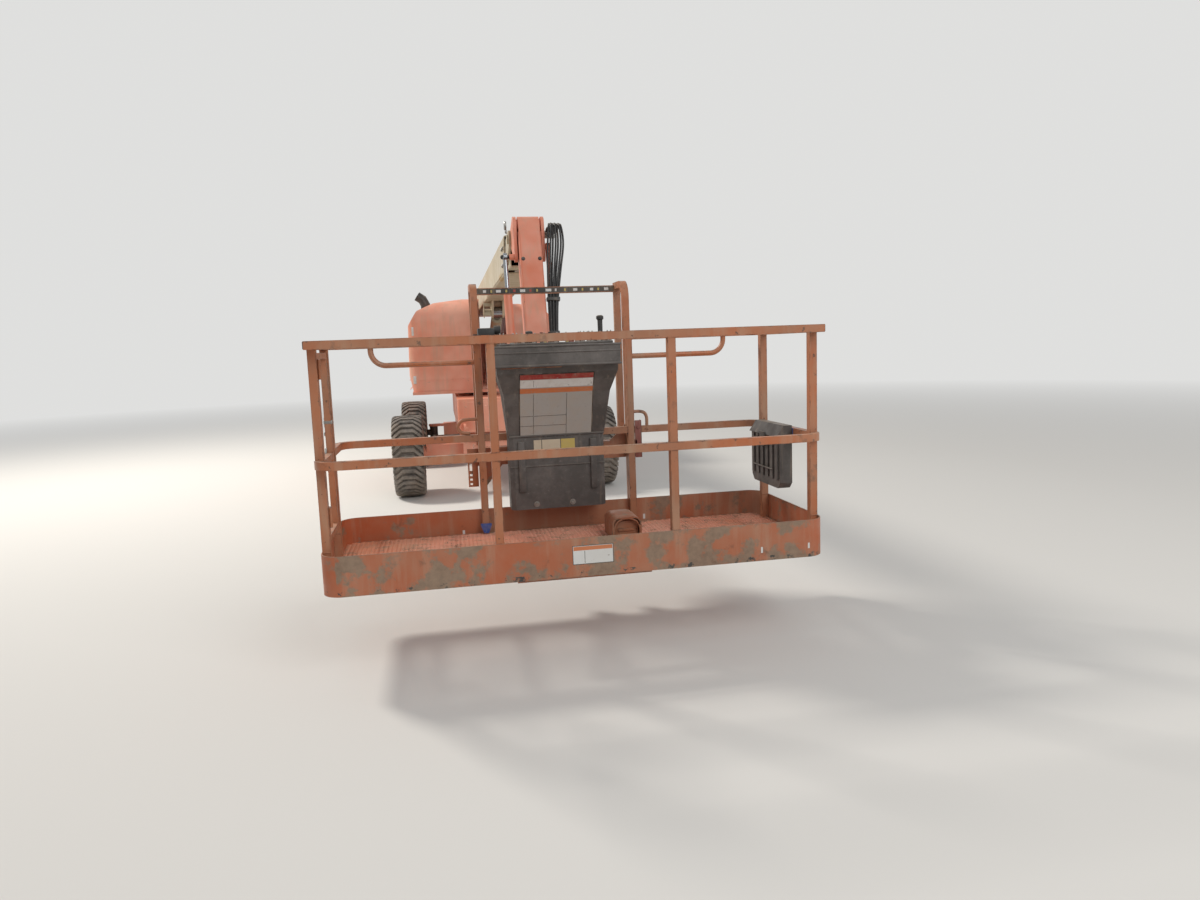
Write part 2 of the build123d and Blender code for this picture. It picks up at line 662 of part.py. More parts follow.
def ground_control_box():
    """Control cabinet on the deck in front of the right hood."""
    near, far, front, rear, height = CONTROL_CABINET
    cabinet = block(near, far, front, rear, DECK_TOP, DECK_TOP + height)
    return fillet(cabinet.edges().filter_by(Axis.Z), MASS_EDGE / 2)


def intake_pipe():
    """Air intake that stands on the shoulder of the left hood and leans outwards at its mouth."""
    x, y, radius = INTAKE
    foot = HOOD_TOP - 160
    neck = HOOD_TOP - 40
    rise = INTAKE_TOP - neck
    path = Polyline((x, y, foot), (x, y, neck), (x - INTAKE_LEAN * 0.35, y, neck + rise * 0.6),
                    (x - INTAKE_LEAN, y, INTAKE_TOP))
    start = Plane(origin=(x, y, foot), z_dir=(0, 0, 1))
    pipe = sweep(start * RegularPolygon(radius, 16), path=path, transition=Transition.RIGHT)
    bore = sweep(start * RegularPolygon(radius - 5, 16), path=path, transition=Transition.RIGHT)
    return pipe - bore - hood_solid(-1, LEFT_HOOD_OUTER, LEFT_HOOD_FRONT)


def base_boom():
    """Outer boom section: a welded box tube with the lugs for the lift cylinder's rod eye."""
    z = BOOM_CENTRE_Z
    half_w = BASE_WIDTH / 2
    half_h = BASE_HEIGHT / 2
    tube = block(-half_w, half_w, BASE_MOUTH_Y, BASE_REAR_Y, z - half_h, z + half_h)
    tube = fillet(tube.edges().filter_by(Axis.Y), 18)
    bore = block(-half_w + BASE_WALL, half_w - BASE_WALL, BASE_MOUTH_Y - 1, BASE_REAR_Y + 1,
                 z - half_h + BASE_WALL, z + half_h - BASE_WALL)
    tube = tube - bore
    eye_z = z - half_h - LIFT_EYE_DROP
    for side in (-1, 1):
        lug_in = side * (LIFT_EYE_WIDTH / 2 + WHEEL_GAP)
        lug_out = lug_in + side * LUG_THICKNESS
        lug = hull_plate([(LIFT_EYE_Y, eye_z, LIFT_EYE_RADIUS), (LIFT_EYE_Y - 150, z - half_h, 6),
                          (LIFT_EYE_Y + 150, z - half_h, 6)], lug_in, lug_out)
        lug = lug - block(-half_w, half_w, LIFT_EYE_Y - 400, LIFT_EYE_Y + 400, z - half_h + 3, z)
        lug = lug + pin_x(LIFT_EYE_Y, eye_z, LIFT_PIN_RADIUS + 8, lug_out, side * 150)
        tube = tube + lug
    return raised(tube)


def wear_pads():
    """Slide pads in the mouth of the outer section, on all four sides of the inner one."""
    z = BOOM_CENTRE_Z
    pads = []
    for side in (-1, 1):
        flat = (FLY_WIDTH / 2 + SLIDE_GAP) * side
        wall = (BASE_WIDTH / 2 - BASE_WALL) * side
        pads.append(block(flat, wall, BASE_MOUTH_Y, BASE_MOUTH_Y + PAD_LENGTH, z - FLY_HEIGHT / 4, z + FLY_HEIGHT / 4))
        flat = z + side * (FLY_HEIGHT / 2 + SLIDE_GAP)
        wall = z + side * (BASE_HEIGHT / 2 - BASE_WALL)
        pads.append(block(-FLY_WIDTH / 4, FLY_WIDTH / 4, BASE_MOUTH_Y, BASE_MOUTH_Y + PAD_LENGTH, flat, wall))
    return [raised(pad) for pad in pads]


def fly_boom():
    """Inner boom section: a box tube with a fork at its tip."""
    z = BOOM_CENTRE_Z
    half_w = FLY_WIDTH / 2
    half_h = FLY_HEIGHT / 2
    tube = block(-half_w, half_w, FLY_END_Y, BASE_MOUTH_Y + FLY_INSIDE, z - half_h, z + half_h)
    tube = fillet(tube.edges().filter_by(Axis.Y), 14)
    bore = block(-half_w + FLY_WALL, half_w - FLY_WALL, FLY_END_Y - 1, BASE_MOUTH_Y + FLY_INSIDE + 1,
                 z - half_h + FLY_WALL, z + half_h - FLY_WALL)
    tube = tube - bore
    tip_z = z + TIP_ABOVE_CENTRE
    tip_y = FLY_END_Y - TIP_FORWARD
    for side in (-1, 1):
        inner = side * half_w
        outer = side * (half_w + FLY_EAR_THICKNESS)
        ear = hull_plate([(tip_y, tip_z, TIP_EYE_RADIUS), (FLY_END_Y + 120, z + half_h - 40, 10),
                          (FLY_END_Y + 160, z - half_h + 40, 10)], inner, outer)
        ear = ear + pin_x(tip_y, tip_z, TIP_PIN_RADIUS + 8, outer, outer + side * 10)
        tube = tube + ear
    return raised(tube)


def jib_plate_span():
    """Inner and outer X of the plates that hold the jib's ends."""
    inner = JIB_WIDTH / 2 + JIB_PLATE_GAP
    return inner, inner + JIB_PLATE_THICKNESS - 1


def jib_base():
    """Pair of plates at the boom tip that carry the jib, its link and its cylinder."""
    inner, outer = jib_plate_span()
    base = None
    for side in (-1, 1):
        plate = hull_plate([(TIP[0], TIP[1], TIP_EYE_RADIUS - 12), (JIB_TOP[0], JIB_TOP[1], JIB_EYE_RADIUS),
                            (JIB_ROD_EYE[0], JIB_ROD_EYE[1], JIB_CYLINDER_EYE)], side * inner, side * outer)
        base = plate if base is None else base + plate
    base = base + pin_x(TIP[0], TIP[1], 34, -inner, inner)
    base = base + pin_x(LINK_TOP[0] + 75, LINK_TOP[1] - 10, 22, -inner, inner)
    link_in, link_out = link_span()
    base = base + pin_x(LINK_TOP[0], LINK_TOP[1], 20, outer, link_in - WHEEL_GAP)
    base = base + pin_x(JIB_ROD_EYE[0], JIB_ROD_EYE[1], 20, -outer, JIB_CYLINDER_X + JIB_CYLINDER_EYE / 2 + 12)
    return base


def link_span():
    """Inner and outer X of the levelling link."""
    outer = jib_plate_span()[1]
    return outer + LINK_CLEARANCE, outer + LINK_CLEARANCE + LINK_THICKNESS


def jib_tube():
    """Box tube of the jib, with an eye at each end and the pin of its cylinder."""
    half_w = JIB_WIDTH / 2
    half_d = JIB_DEPTH / 2
    start = along(JIB_TOP, JIB_FOOT, 70)
    end = along(JIB_TOP, JIB_FOOT, JIB_LENGTH - 70)
    run = JIB_LENGTH - 140
    plane = Plane(origin=(0, start[0], start[1]), x_dir=(1, 0, 0), z_dir=(0, JIB_ALONG[0], JIB_ALONG[1]))
    outer = RectangleRounded(JIB_WIDTH, JIB_DEPTH, 14)
    inner = RectangleRounded(JIB_WIDTH - 2 * JIB_WALL, JIB_DEPTH - 2 * JIB_WALL, 8)
    tube = extrude(plane * (outer - inner), amount=run)
    boss = half_w + JIB_PLATE_GAP - WHEEL_GAP
    for eye, side_end in ((JIB_TOP, start), (JIB_FOOT, end)):
        head = hull_plate([(eye[0], eye[1], JIB_EYE_RADIUS), (side_end[0], side_end[1], half_d - 4)],
                          -half_w + 4, half_w - 4)
        tube = tube + head + pin_x(eye[0], eye[1], 40, -boss, boss)
    pin_end = JIB_CYLINDER_X + JIB_CYLINDER_EYE / 2 + WHEEL_GAP
    tube = tube + pin_x(JIB_BARREL_EYE[0], JIB_BARREL_EYE[1], 30, -half_w, pin_end)
    return tube


def jib_link():
    """Flat levelling link beside the jib, pinned at the boom tip and at the platform carrier."""
    inner, outer = link_span()
    return hull_plate([(LINK_TOP[0], LINK_TOP[1], LINK_WIDTH / 2), (LINK_FOOT[0], LINK_FOOT[1], LINK_WIDTH / 2)],
                      inner, outer)


def cylinder_barrel(base, eye, x, radius, bore, length, eye_radius, eye_width, neck):
    """Hydraulic barrel with a base eye; its bore leaves a running gap round the rod."""
    body = bar_between(along(base, eye, neck), along(base, eye, length), radius, x)
    body = body + bar_between(base, along(base, eye, neck), eye_width / 2, x)
    head = pin_x(base[0], base[1], eye_radius, x - eye_width / 2, x + eye_width / 2)
    body = body + head
    tunnel = bar_between(along(base, eye, neck + radius), along(base, eye, length + 1), bore, x)
    return body - tunnel


def cylinder_rod(base, eye, x, radius, length, eye_radius, eye_width):
    """Piston rod with the eye at its outer end."""
    run = hypot(eye[0] - base[0], eye[1] - base[1])
    rod = bar_between(along(base, eye, run - length), eye, radius, x)
    return rod + pin_x(eye[0], eye[1], eye_radius, x - eye_width / 2, x + eye_width / 2)


def lift_barrel():
    return cylinder_barrel(LIFT_BASE, LIFT_EYE, 0, LIFT_BARREL_RADIUS, LIFT_ROD_RADIUS + WHEEL_GAP,
                           LIFT_BARREL_LENGTH, LIFT_EYE_RADIUS - 4, LIFT_EYE_WIDTH, LIFT_EYE_RADIUS + 30)


def lift_rod():
    return cylinder_rod(LIFT_BASE, LIFT_EYE, 0, LIFT_ROD_RADIUS, LIFT_ROD_LENGTH, LIFT_EYE_RADIUS - 4,
                        LIFT_EYE_WIDTH)


def jib_barrel():
    return cylinder_barrel(JIB_BARREL_EYE, JIB_ROD_EYE, JIB_CYLINDER_X, JIB_BARREL_RADIUS,
                           JIB_ROD_RADIUS + WHEEL_GAP, JIB_BARREL_LENGTH, JIB_CYLINDER_EYE,
                           JIB_CYLINDER_EYE, JIB_CYLINDER_EYE + 10)


def jib_rod():
    return cylinder_rod(JIB_BARREL_EYE, JIB_ROD_EYE, JIB_CYLINDER_X, JIB_ROD_RADIUS, JIB_ROD_LENGTH,
                        JIB_CYLINDER_EYE * 0.8, JIB_CYLINDER_EYE - 10)


def platform_support():
    """Carrier at the foot of the jib that stays upright and holds the rotator."""
    inner, outer = jib_plate_span()
    support = pin_z(0, ROTATOR_Y, ROTATOR_RADIUS, ROTATOR_BOTTOM, ROTATOR_TOP)
    for side in (-1, 1):
        outline = [(JIB_FOOT[0], JIB_FOOT[1], JIB_EYE_RADIUS - 6), (ROTATOR_Y + 20, ROTATOR_BOTTOM + 60, 30),
                   (ROTATOR_Y + 20, ROTATOR_TOP - 60, 30)]
        if side > 0:
            outline.append((LINK_FOOT[0], LINK_FOOT[1], 36))
        support = support + hull_plate(outline, side * inner, side * outer)
    link_in, link_out = link_span()
    support = support + pin_x(LINK_FOOT[0], LINK_FOOT[1], 20, outer, link_in - WHEEL_GAP)
    web = block(-outer, outer, ROTATOR_Y, ROTATOR_Y + 60, ROTATOR_BOTTOM + 30, ROTATOR_TOP - 30)
    return support + web


def platform_mount():
    """Fork that turns about the rotator and carries the platform on a cross beam and a frame under the floor."""
    rear = -BASKET_REAR + TUBE
    beam = block(-CARRIER_HALF_WIDTH, CARRIER_HALF_WIDTH, rear, rear + CARRIER_BEAM_DEPTH,
                 CARRIER_BEAM_BOTTOM, CARRIER_BEAM_BOTTOM + CARRIER_BEAM_HEIGHT)
    top = ROTATOR_TOP + WHEEL_GAP
    low = ROTATOR_BOTTOM - WHEEL_GAP
    for z0, z1 in ((top, top + CARRIER_PLATE), (low - CARRIER_PLATE, low)):
        plate = pin_z(0, ROTATOR_Y, ROTATOR_RADIUS, z0, z1)
        plate = plate + block(-ROTATOR_RADIUS, ROTATOR_RADIUS, rear, ROTATOR_Y, z0, z1)
        beam = beam + plate
    web = block(-ROTATOR_RADIUS, ROTATOR_RADIUS, rear, rear + CARRIER_BEAM_DEPTH, CARRIER_BEAM_BOTTOM,
                top + CARRIER_PLATE)
    beam = beam + web
    beam_top = CARRIER_BEAM_BOTTOM + CARRIER_BEAM_HEIGHT
    beam = beam + carrier_gusset(1, beam_top, beam_top + CARRIER_GUSSET, rear)
    beam = beam + carrier_gusset(-1, CARRIER_BEAM_BOTTOM, CARRIER_BEAM_BOTTOM - CARRIER_GUSSET_DROP, rear)
    for side in (-1, 1):
        x0 = side * (BAY_HALF_WIDTH - TUBE / 2)
        x1 = side * CARRIER_HALF_WIDTH
        arm = block(x0, x1, rear + CARRIER_BEAM_DEPTH, bay_far_y() + TUBE / 2, CARRIER_BEAM_BOTTOM + 40,
                    CARRIER_BEAM_BOTTOM + CARRIER_BEAM_HEIGHT)
        beam = beam + arm
    return beam + under_frame(rear)


def carrier_gusset(side, seat_z, tip_z, rear):
    """Three-cornered plate between the cross beam and a bay post."""
    post_x = side * (BAY_HALF_WIDTH - TUBE / 2)
    outline = make_face(Polyline((post_x, seat_z), (post_x, tip_z), (post_x - side * CARRIER_GUSSET, seat_z),
                                 close=True))
    plane = Plane(origin=(0, rear, 0), x_dir=(1, 0, 0), z_dir=(0, -1, 0))
    return extrude(plane * outline, amount=CARRIER_GUSSET_THICKNESS, dir=(0, 1, 0))


def under_frame(rear):
    """Two uprights behind the floor and two arms below it that spread to a cross bar at its front."""
    low = TOE_BOTTOM - UNDER_FRAME_DEPTH
    half = UNDER_FRAME_WIDTH / 2
    front = -BASKET_FRONT + UNDER_FRAME_FRONT_GAP
    frame = block(-UNDER_FRAME_FRONT_HALF, UNDER_FRAME_FRONT_HALF, front, front + UNDER_FRAME_WIDTH, low, TOE_BOTTOM)
    for side in (-1, 1):
        foot = side * UNDER_FRAME_REAR_HALF
        tip = side * (UNDER_FRAME_FRONT_HALF - half)
        arm = make_face(Polyline((foot - half, rear + half), (foot + half, rear + half), (tip + half, front + half),
                                 (tip - half, front + half), close=True))
        frame = frame + Pos(0, 0, low) * extrude(arm, amount=UNDER_FRAME_DEPTH)
        frame = frame + block(foot - half, foot + half, rear, rear + half, low, CARRIER_BEAM_BOTTOM)
    return frame


def bay_far_y():
    """Middle of the far posts of the console bay."""
    return -BASKET_REAR + BAY_DEPTH


def platform_floor():
    """Grating plate on cross members, inside the toe board."""
    inner_w = BASKET_WIDTH - 2 * TOE_WALL
    inner_d = BASKET_DEPTH - 2 * TOE_WALL
    middle = -(BASKET_FRONT + BASKET_REAR) / 2
    plate = extrude(RectangleRounded(inner_w, inner_d, BASKET_CORNER - TOE_WALL), amount=FLOOR_THICKNESS)
    floor = Pos(0, middle, FLOOR_TOP - FLOOR_THICKNESS) * plate
    pitch = inner_w / CROSS_MEMBERS
    for index in range(CROSS_MEMBERS):
        x = -inner_w / 2 + pitch * (index + 0.5)
        floor = floor + block(x - CROSS_MEMBER_WIDTH / 2, x + CROSS_MEMBER_WIDTH / 2, middle - inner_d / 2,
                              middle + inner_d / 2, TOE_BOTTOM, FLOOR_TOP - FLOOR_THICKNESS)
    return floor


def toe_board():
    """Sheet band round the floor, with rounded corners."""
    middle = -(BASKET_FRONT + BASKET_REAR) / 2
    band = RectangleRounded(BASKET_WIDTH, BASKET_DEPTH, BASKET_CORNER) - RectangleRounded(
        BASKET_WIDTH - 2 * TOE_WALL, BASKET_DEPTH - 2 * TOE_WALL, BASKET_CORNER - TOE_WALL)
    return Pos(0, middle, TOE_BOTTOM) * extrude(band, amount=TOE_HEIGHT)


def post(x, y, z0, z1):
    return block(x - TUBE / 2, x + TUBE / 2, y - TUBE / 2, y + TUBE / 2, z0, z1)


def rail(x0, x1, y, top):
    return block(x0, x1, y - TUBE / 2, y + TUBE / 2, top - TUBE, top)


def corner_x():
    """Middle of the corner posts, inside the toe board."""
    return BASKET_WIDTH / 2 - TUBE / 2 - TOE_WALL


def mid_ring():
    """The whole middle rail as a band with rounded corners, flush with the toe board's outside."""
    band = RectangleRounded(BASKET_WIDTH, BASKET_DEPTH, MID_RAIL_CORNER) - RectangleRounded(
        BASKET_WIDTH - 2 * TUBE, BASKET_DEPTH - 2 * TUBE, MID_RAIL_CORNER - TUBE)
    middle = -(BASKET_FRONT + BASKET_REAR) / 2
    return Pos(0, middle, MID_RAIL_TOP - TUBE) * extrude(band, amount=TUBE)


def post_y(setback):
    """Middle of a post on an end of the platform, counted from the platform's front."""
    return -BASKET_FRONT + setback


def ring_part(x0, x1, y0, y1):
    """The part of the middle rail between two limits in X and in Y."""
    return mid_ring() & block(x0, x1, y0, y1, MID_RAIL_TOP - TUBE, MID_RAIL_TOP)


def front_rails():
    """Front of the guard rail: top and middle rails and two posts, with the rounded corners."""
    y = -BASKET_FRONT + TUBE / 2 + TOE_WALL
    half = BASKET_WIDTH / 2 - TOE_WALL
    frame = rail(-half, half, y, RAIL_TOP)
    for x in FRONT_POSTS:
        frame = frame + post(x, y, FLOOR_TOP, RAIL_TOP)
    reach = BASKET_WIDTH / 2 + 1
    return frame + ring_part(-reach, reach, -BASKET_FRONT - 1, post_y(CORNER_POST_SETBACK) - TUBE / 2)


def rear_rails():
    """Rear of the guard rail on both sides of the console bay, with the grab rails."""
    y = -BASKET_REAR - TUBE / 2 - TOE_WALL
    half = BASKET_WIDTH / 2 - TOE_WALL
    near = BAY_HALF_WIDTH - TUBE / 2
    reach = BASKET_WIDTH / 2 + 1
    rear = -BASKET_REAR
    frame = ring_part(-reach, 0, post_y(GATE_POST_SETBACK) + TUBE / 2, rear + 1)
    frame = frame + ring_part(0, reach, rear - REAR_POST_SETBACK + TUBE / 2, rear + 1)
    for side in (-1, 1):
        part = rail(side * near, side * half, y, RAIL_TOP)
        part = part + post(side * BAY_HALF_WIDTH, y, FLOOR_TOP, RAIL_TOP)
        path = FilletPolyline((side * BAY_HALF_WIDTH, y, GRAB_Z), (side * GRAB_END, y, GRAB_Z),
                              (side * GRAB_END, y, RAIL_TOP - TUBE / 2), radius=GRAB_BEND)
        start = Plane(origin=(side * BAY_HALF_WIDTH, y, GRAB_Z), z_dir=(side, 0, 0))
        part = part + sweep(start * RegularPolygon(GRAB_RADIUS, 8), path=path)
        frame = frame + part
    return frame


def end_rails(side, setbacks):
    """Top rail of one end of the platform and the posts that stand inside the toe board."""
    x = side * corner_x()
    y0 = -BASKET_FRONT + TUBE + TOE_WALL
    y1 = -BASKET_REAR - TUBE - TOE_WALL
    frame = block(x - TUBE / 2, x + TUBE / 2, y0, y1, RAIL_TOP - TUBE, RAIL_TOP)
    for setback in setbacks:
        frame = frame + post(x, post_y(setback), FLOOR_TOP, RAIL_TOP - TUBE)
    return frame


def right_rails():
    """Right end of the guard rail, with its middle rail between the posts."""
    rear = BASKET_DEPTH - REAR_POST_SETBACK
    frame = end_rails(1, (CORNER_POST_SETBACK, rear))
    return frame + ring_part(0, BASKET_WIDTH / 2 + 1, post_y(CORNER_POST_SETBACK) - TUBE / 2,
                             post_y(rear) + TUBE / 2)


def left_rails():
    """Left end of the guard rail, with the two posts of the gate."""
    return end_rails(-1, (CORNER_POST_SETBACK, GATE_POST_SETBACK))


def gate_axis():
    """X and Y of the gate's hinge line, on the inner face of the front gate post."""
    x = -corner_x() + TUBE / 2 + HINGE_BARREL + WHEEL_GAP
    return x, post_y(CORNER_POST_SETBACK) + TUBE / 2 - HINGE_BARREL


def gate():
    """Swing gate in the left end, with two uprights, three bars and its hinge barrels."""
    x = -corner_x()
    half = GATE_TUBE / 2
    start = post_y(CORNER_POST_SETBACK) + TUBE / 2 + GATE_GAP
    end = post_y(GATE_POST_SETBACK) - TUBE / 2 - GATE_GAP
    frame = block(x - half, x + half, start, start + GATE_TUBE, GATE_BOTTOM, GATE_TOP)
    frame = frame + block(x - half, x + half, end - GATE_TUBE, end, GATE_BOTTOM, GATE_TOP)
    for z in (GATE_BOTTOM, MID_RAIL_TOP - TUBE, GATE_TOP - GATE_TUBE):
        frame = frame + block(x - half, x + half, start + half, end - half, z, z + GATE_TUBE)
    axis_x, axis_y = gate_axis()
    leaf_x = x + TUBE / 2 + WHEEL_GAP
    for z in HINGE_LEVELS:
        frame = frame + pin_z(axis_x, axis_y, HINGE_BARREL, z, z + HINGE_HEIGHT)
        frame = frame + block(leaf_x, axis_x, axis_y, start + GATE_TUBE, z, z + HINGE_HEIGHT)
        frame = frame + block(x + half, axis_x, start, start + GATE_TUBE, z, z + HINGE_HEIGHT)
    return frame


def console_bay():
    """Bent side frames and label bar of the bay behind the rear rail, which holds the console."""
    near_y = -BASKET_REAR
    far_y = bay_far_y() + TUBE / 2
    beam_top = CARRIER_BEAM_BOTTOM + CARRIER_BEAM_HEIGHT
    outer = make_face(Polyline((near_y, FLOOR_TOP), (near_y, BAY_TOP), (far_y, BAY_TOP), (far_y, FLOOR_TOP),
                               close=True))
    outer = fillet(outer.vertices().group_by(Axis.Y)[-1].sort_by(Axis.X)[0], BAY_BEND)
    inner = make_face(Polyline((near_y + TUBE, FLOOR_TOP), (near_y + TUBE, BAY_TOP - TUBE),
                               (far_y - TUBE, BAY_TOP - TUBE), (far_y - TUBE, FLOOR_TOP), close=True))
    inner = fillet(inner.vertices().group_by(Axis.Y)[-1].sort_by(Axis.X)[0], BAY_BEND - TUBE)
    bay = None
    for side in (-1, 1):
        x = side * BAY_HALF_WIDTH - TUBE / 2
        part = extrude(Plane.YZ.offset(x) * (outer - inner), amount=TUBE)
        part = part - block(x - 1, x + TUBE + 1, near_y + TUBE, far_y + 1, FLOOR_TOP, beam_top)
        bay = part if bay is None else bay + part
    bar = block(-BAY_HALF_WIDTH, BAY_HALF_WIDTH, far_y - TUBE, far_y, BAY_TOP - BAY_BAR_DROP - TUBE,
                BAY_TOP - BAY_BAR_DROP)
    return bay + bar


def console_box():
    """Moulded control console with a bowed lid, which narrows sharply to its foot."""
    back = -BASKET_REAR - TUBE - WHEEL_GAP
    half = CONSOLE_WIDTH / 2
    foot = CONSOLE_FOOT_WIDTH / 2
    front = back - CONSOLE_DEPTH
    lip = CONSOLE_TOP - CONSOLE_LIP
    outline = make_face(Polyline(
        (-half, back), (half, back), (half, front), (half / 2, front - CONSOLE_BOW * 0.75), (0, front - CONSOLE_BOW),
        (-half / 2, front - CONSOLE_BOW * 0.75), (-half, front), close=True))
    lid = Pos(0, 0, lip) * extrude(outline, amount=CONSOLE_LIP)
    lid = fillet(lid.edges().group_by(Axis.Z)[-1].sort_by(Axis.Y)[:4], CONSOLE_EDGE)
    levels = (
        (lip, half - CONSOLE_EDGE, CONSOLE_DEPTH - CONSOLE_EDGE),
        (lip - 35, half - CONSOLE_EDGE, CONSOLE_DEPTH - 2 * CONSOLE_EDGE),
        (CONSOLE_SWOOP, foot + 2 * CONSOLE_EDGE, (CONSOLE_DEPTH + CONSOLE_FOOT_DEPTH) / 2),
        (CONSOLE_WAIST, foot, CONSOLE_FOOT_DEPTH),
    )
    sections = []
    for z, width, depth in levels:
        face = Polyline((-width, back), (width, back), (width, back - depth), (-width, back - depth), close=True)
        sections.append(Pos(0, 0, z) * make_face(face))
    body = lid + loft(sections, ruled=True)
    base = block(-foot, foot, back - CONSOLE_FOOT_DEPTH, back, CONSOLE_BOTTOM, CONSOLE_WAIST)
    base = chamfer(base.edges().filter_by(Axis.Z).group_by(Axis.Y)[0], CONSOLE_EDGE * 2)
    return Pos(CONSOLE_X, 0, 0) * (body + base)


def foot_switch():
    """Pedal under an arched guard that is open towards the operator."""
    half = FOOT_SWITCH_WIDTH / 2
    y = -BASKET_REAR - FOOT_SWITCH_SETBACK
    near = y - FOOT_SWITCH_DEPTH / 2
    far = y + FOOT_SWITCH_DEPTH / 2
    top = FLOOR_TOP + FOOT_SWITCH_HEIGHT
    wall = FOOT_SWITCH_WALL
    shell = block(FOOT_SWITCH_X - half, FOOT_SWITCH_X + half, near, far, FLOOR_TOP, top)
    shell = fillet(shell.edges().filter_by(Axis.Y).group_by(Axis.Z)[-1], FOOT_SWITCH_WIDTH / 4)
    tunnel = block(FOOT_SWITCH_X - half + wall, FOOT_SWITCH_X + half - wall, near - 1, far - wall, FLOOR_TOP + wall,
                   top - wall)
    tunnel = fillet(tunnel.edges().filter_by(Axis.Y).group_by(Axis.Z)[-1], FOOT_SWITCH_WIDTH / 4 - wall)
    plate = hull_plate([(near + 2 * wall, FLOOR_TOP + 2 * wall, wall / 2), (far - wall, FLOOR_TOP + 6 * wall, wall / 2),
                        (far - wall, FLOOR_TOP + wall, wall / 2)],
                       FOOT_SWITCH_X - half + 3 * wall, FOOT_SWITCH_X + half - 3 * wall)
    return shell - tunnel + plate


def document_box():
    """Ribbed plastic box for papers with a pitched lid, on the inside of the right middle rail."""
    outer = BASKET_WIDTH / 2 - TUBE - WHEEL_GAP
    inner = outer - DOCUMENT_BOX_DEPTH
    y1 = -BASKET_REAR - DOCUMENT_BOX_SETBACK
    y0 = y1 - DOCUMENT_BOX_WIDTH
    top = DOCUMENT_BOX_BOTTOM + DOCUMENT_BOX_HEIGHT
    rib = DOCUMENT_BOX_RIB_DEPTH
    body = block(inner + rib, outer, y0, y1, DOCUMENT_BOX_BOTTOM, top - DOCUMENT_BOX_LID)
    body = chamfer(body.edges().filter_by(Axis.X).group_by(Axis.Z)[0], 4 * rib)
    pitch = DOCUMENT_BOX_WIDTH / DOCUMENT_BOX_RIBS
    for index in range(DOCUMENT_BOX_RIBS):
        y = y0 + pitch * (index + 0.5)
        body = body + block(inner, outer, y - pitch / 4, y + pitch / 4, DOCUMENT_BOX_BOTTOM + 6 * rib,
                            top - DOCUMENT_BOX_LID)
    lid = make_face(Polyline((inner - rib, top - DOCUMENT_BOX_LID), (outer, top - DOCUMENT_BOX_LID), (outer, top),
                             (inner + 4 * rib, top), close=True))
    cover = extrude(Plane(origin=(0, y1, 0), x_dir=(1, 0, 0), z_dir=(0, -1, 0)) * lid, amount=DOCUMENT_BOX_WIDTH)
    return body + cover


def nodes():
    """Every sub-part by its node name."""
    made = {}
    made["chassis_frame"] = chassis_frame()
    made["drive_axle"] = drive_axle()
    made["steer_axle"] = steer_axle()
    made["swing_bearing"] = swing_bearing()
    for side, name in ((-1, "left"), (1, "right")):
        made[f"knuckle_{name}"] = knuckle(side)
        for wheel_y, axle in ((DRIVE_Y, "drive"), (STEER_Y, "steer")):
            made[f"{axle}_tyre_{name}"] = tyre(side, wheel_y)
            made[f"{axle}_rim_{name}"] = rim(side, wheel_y)
    made["tie_rod"] = tie_rod()
    made["turntable_deck"] = turntable_deck()
    made["counterweight"] = counterweight()
    made["engine_block"] = engine_block()
    made["hydraulic_tank"] = hydraulic_tank()
    made["ground_control_box"] = ground_control_box()
    made["hood_left"] = hood(-1, LEFT_HOOD_OUTER, LEFT_HOOD_FRONT)
    made["intake_pipe"] = intake_pipe()
    made["hood_right"] = hood(1, RIGHT_HOOD_OUTER, RIGHT_HOOD_FRONT)
    made["base_boom"] = base_boom()
    made["wear_pads"] = Compound(children=wear_pads())
    made["fly_boom"] = fly_boom()
    made["lift_barrel"] = lift_barrel()
    made["lift_rod"] = lift_rod()
    made["jib_base"] = jib_base()
    made["jib_tube"] = jib_tube()
    made["jib_link"] = jib_link()
    made["jib_barrel"] = jib_barrel()
    made["jib_rod"] = jib_rod()
    made["platform_support"] = platform_support()
    made["platform_mount"] = platform_mount()
    made["platform_floor"] = platform_floor()
    made["toe_board"] = toe_board()
    made["front_rails"] = front_rails()
    made["rear_rails"] = rear_rails()
    made["right_rails"] = right_rails()
    made["left_rails"] = left_rails()
    made["gate"] = gate()
    made["console_bay"] = console_bay()
    made["console_box"] = console_box()
    made["foot_switch"] = foot_switch()
    made["document_box"] = document_box()
    return made


os.makedirs("parts", exist_ok=True)
for node, shape in nodes().items():
    export_step(Pos(0, SWING_Y, 0) * shape, f"parts/{node}.step")
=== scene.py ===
import json
import math
from math import cos, sin

import bmesh
import bpy
from mathutils import Matrix, Vector


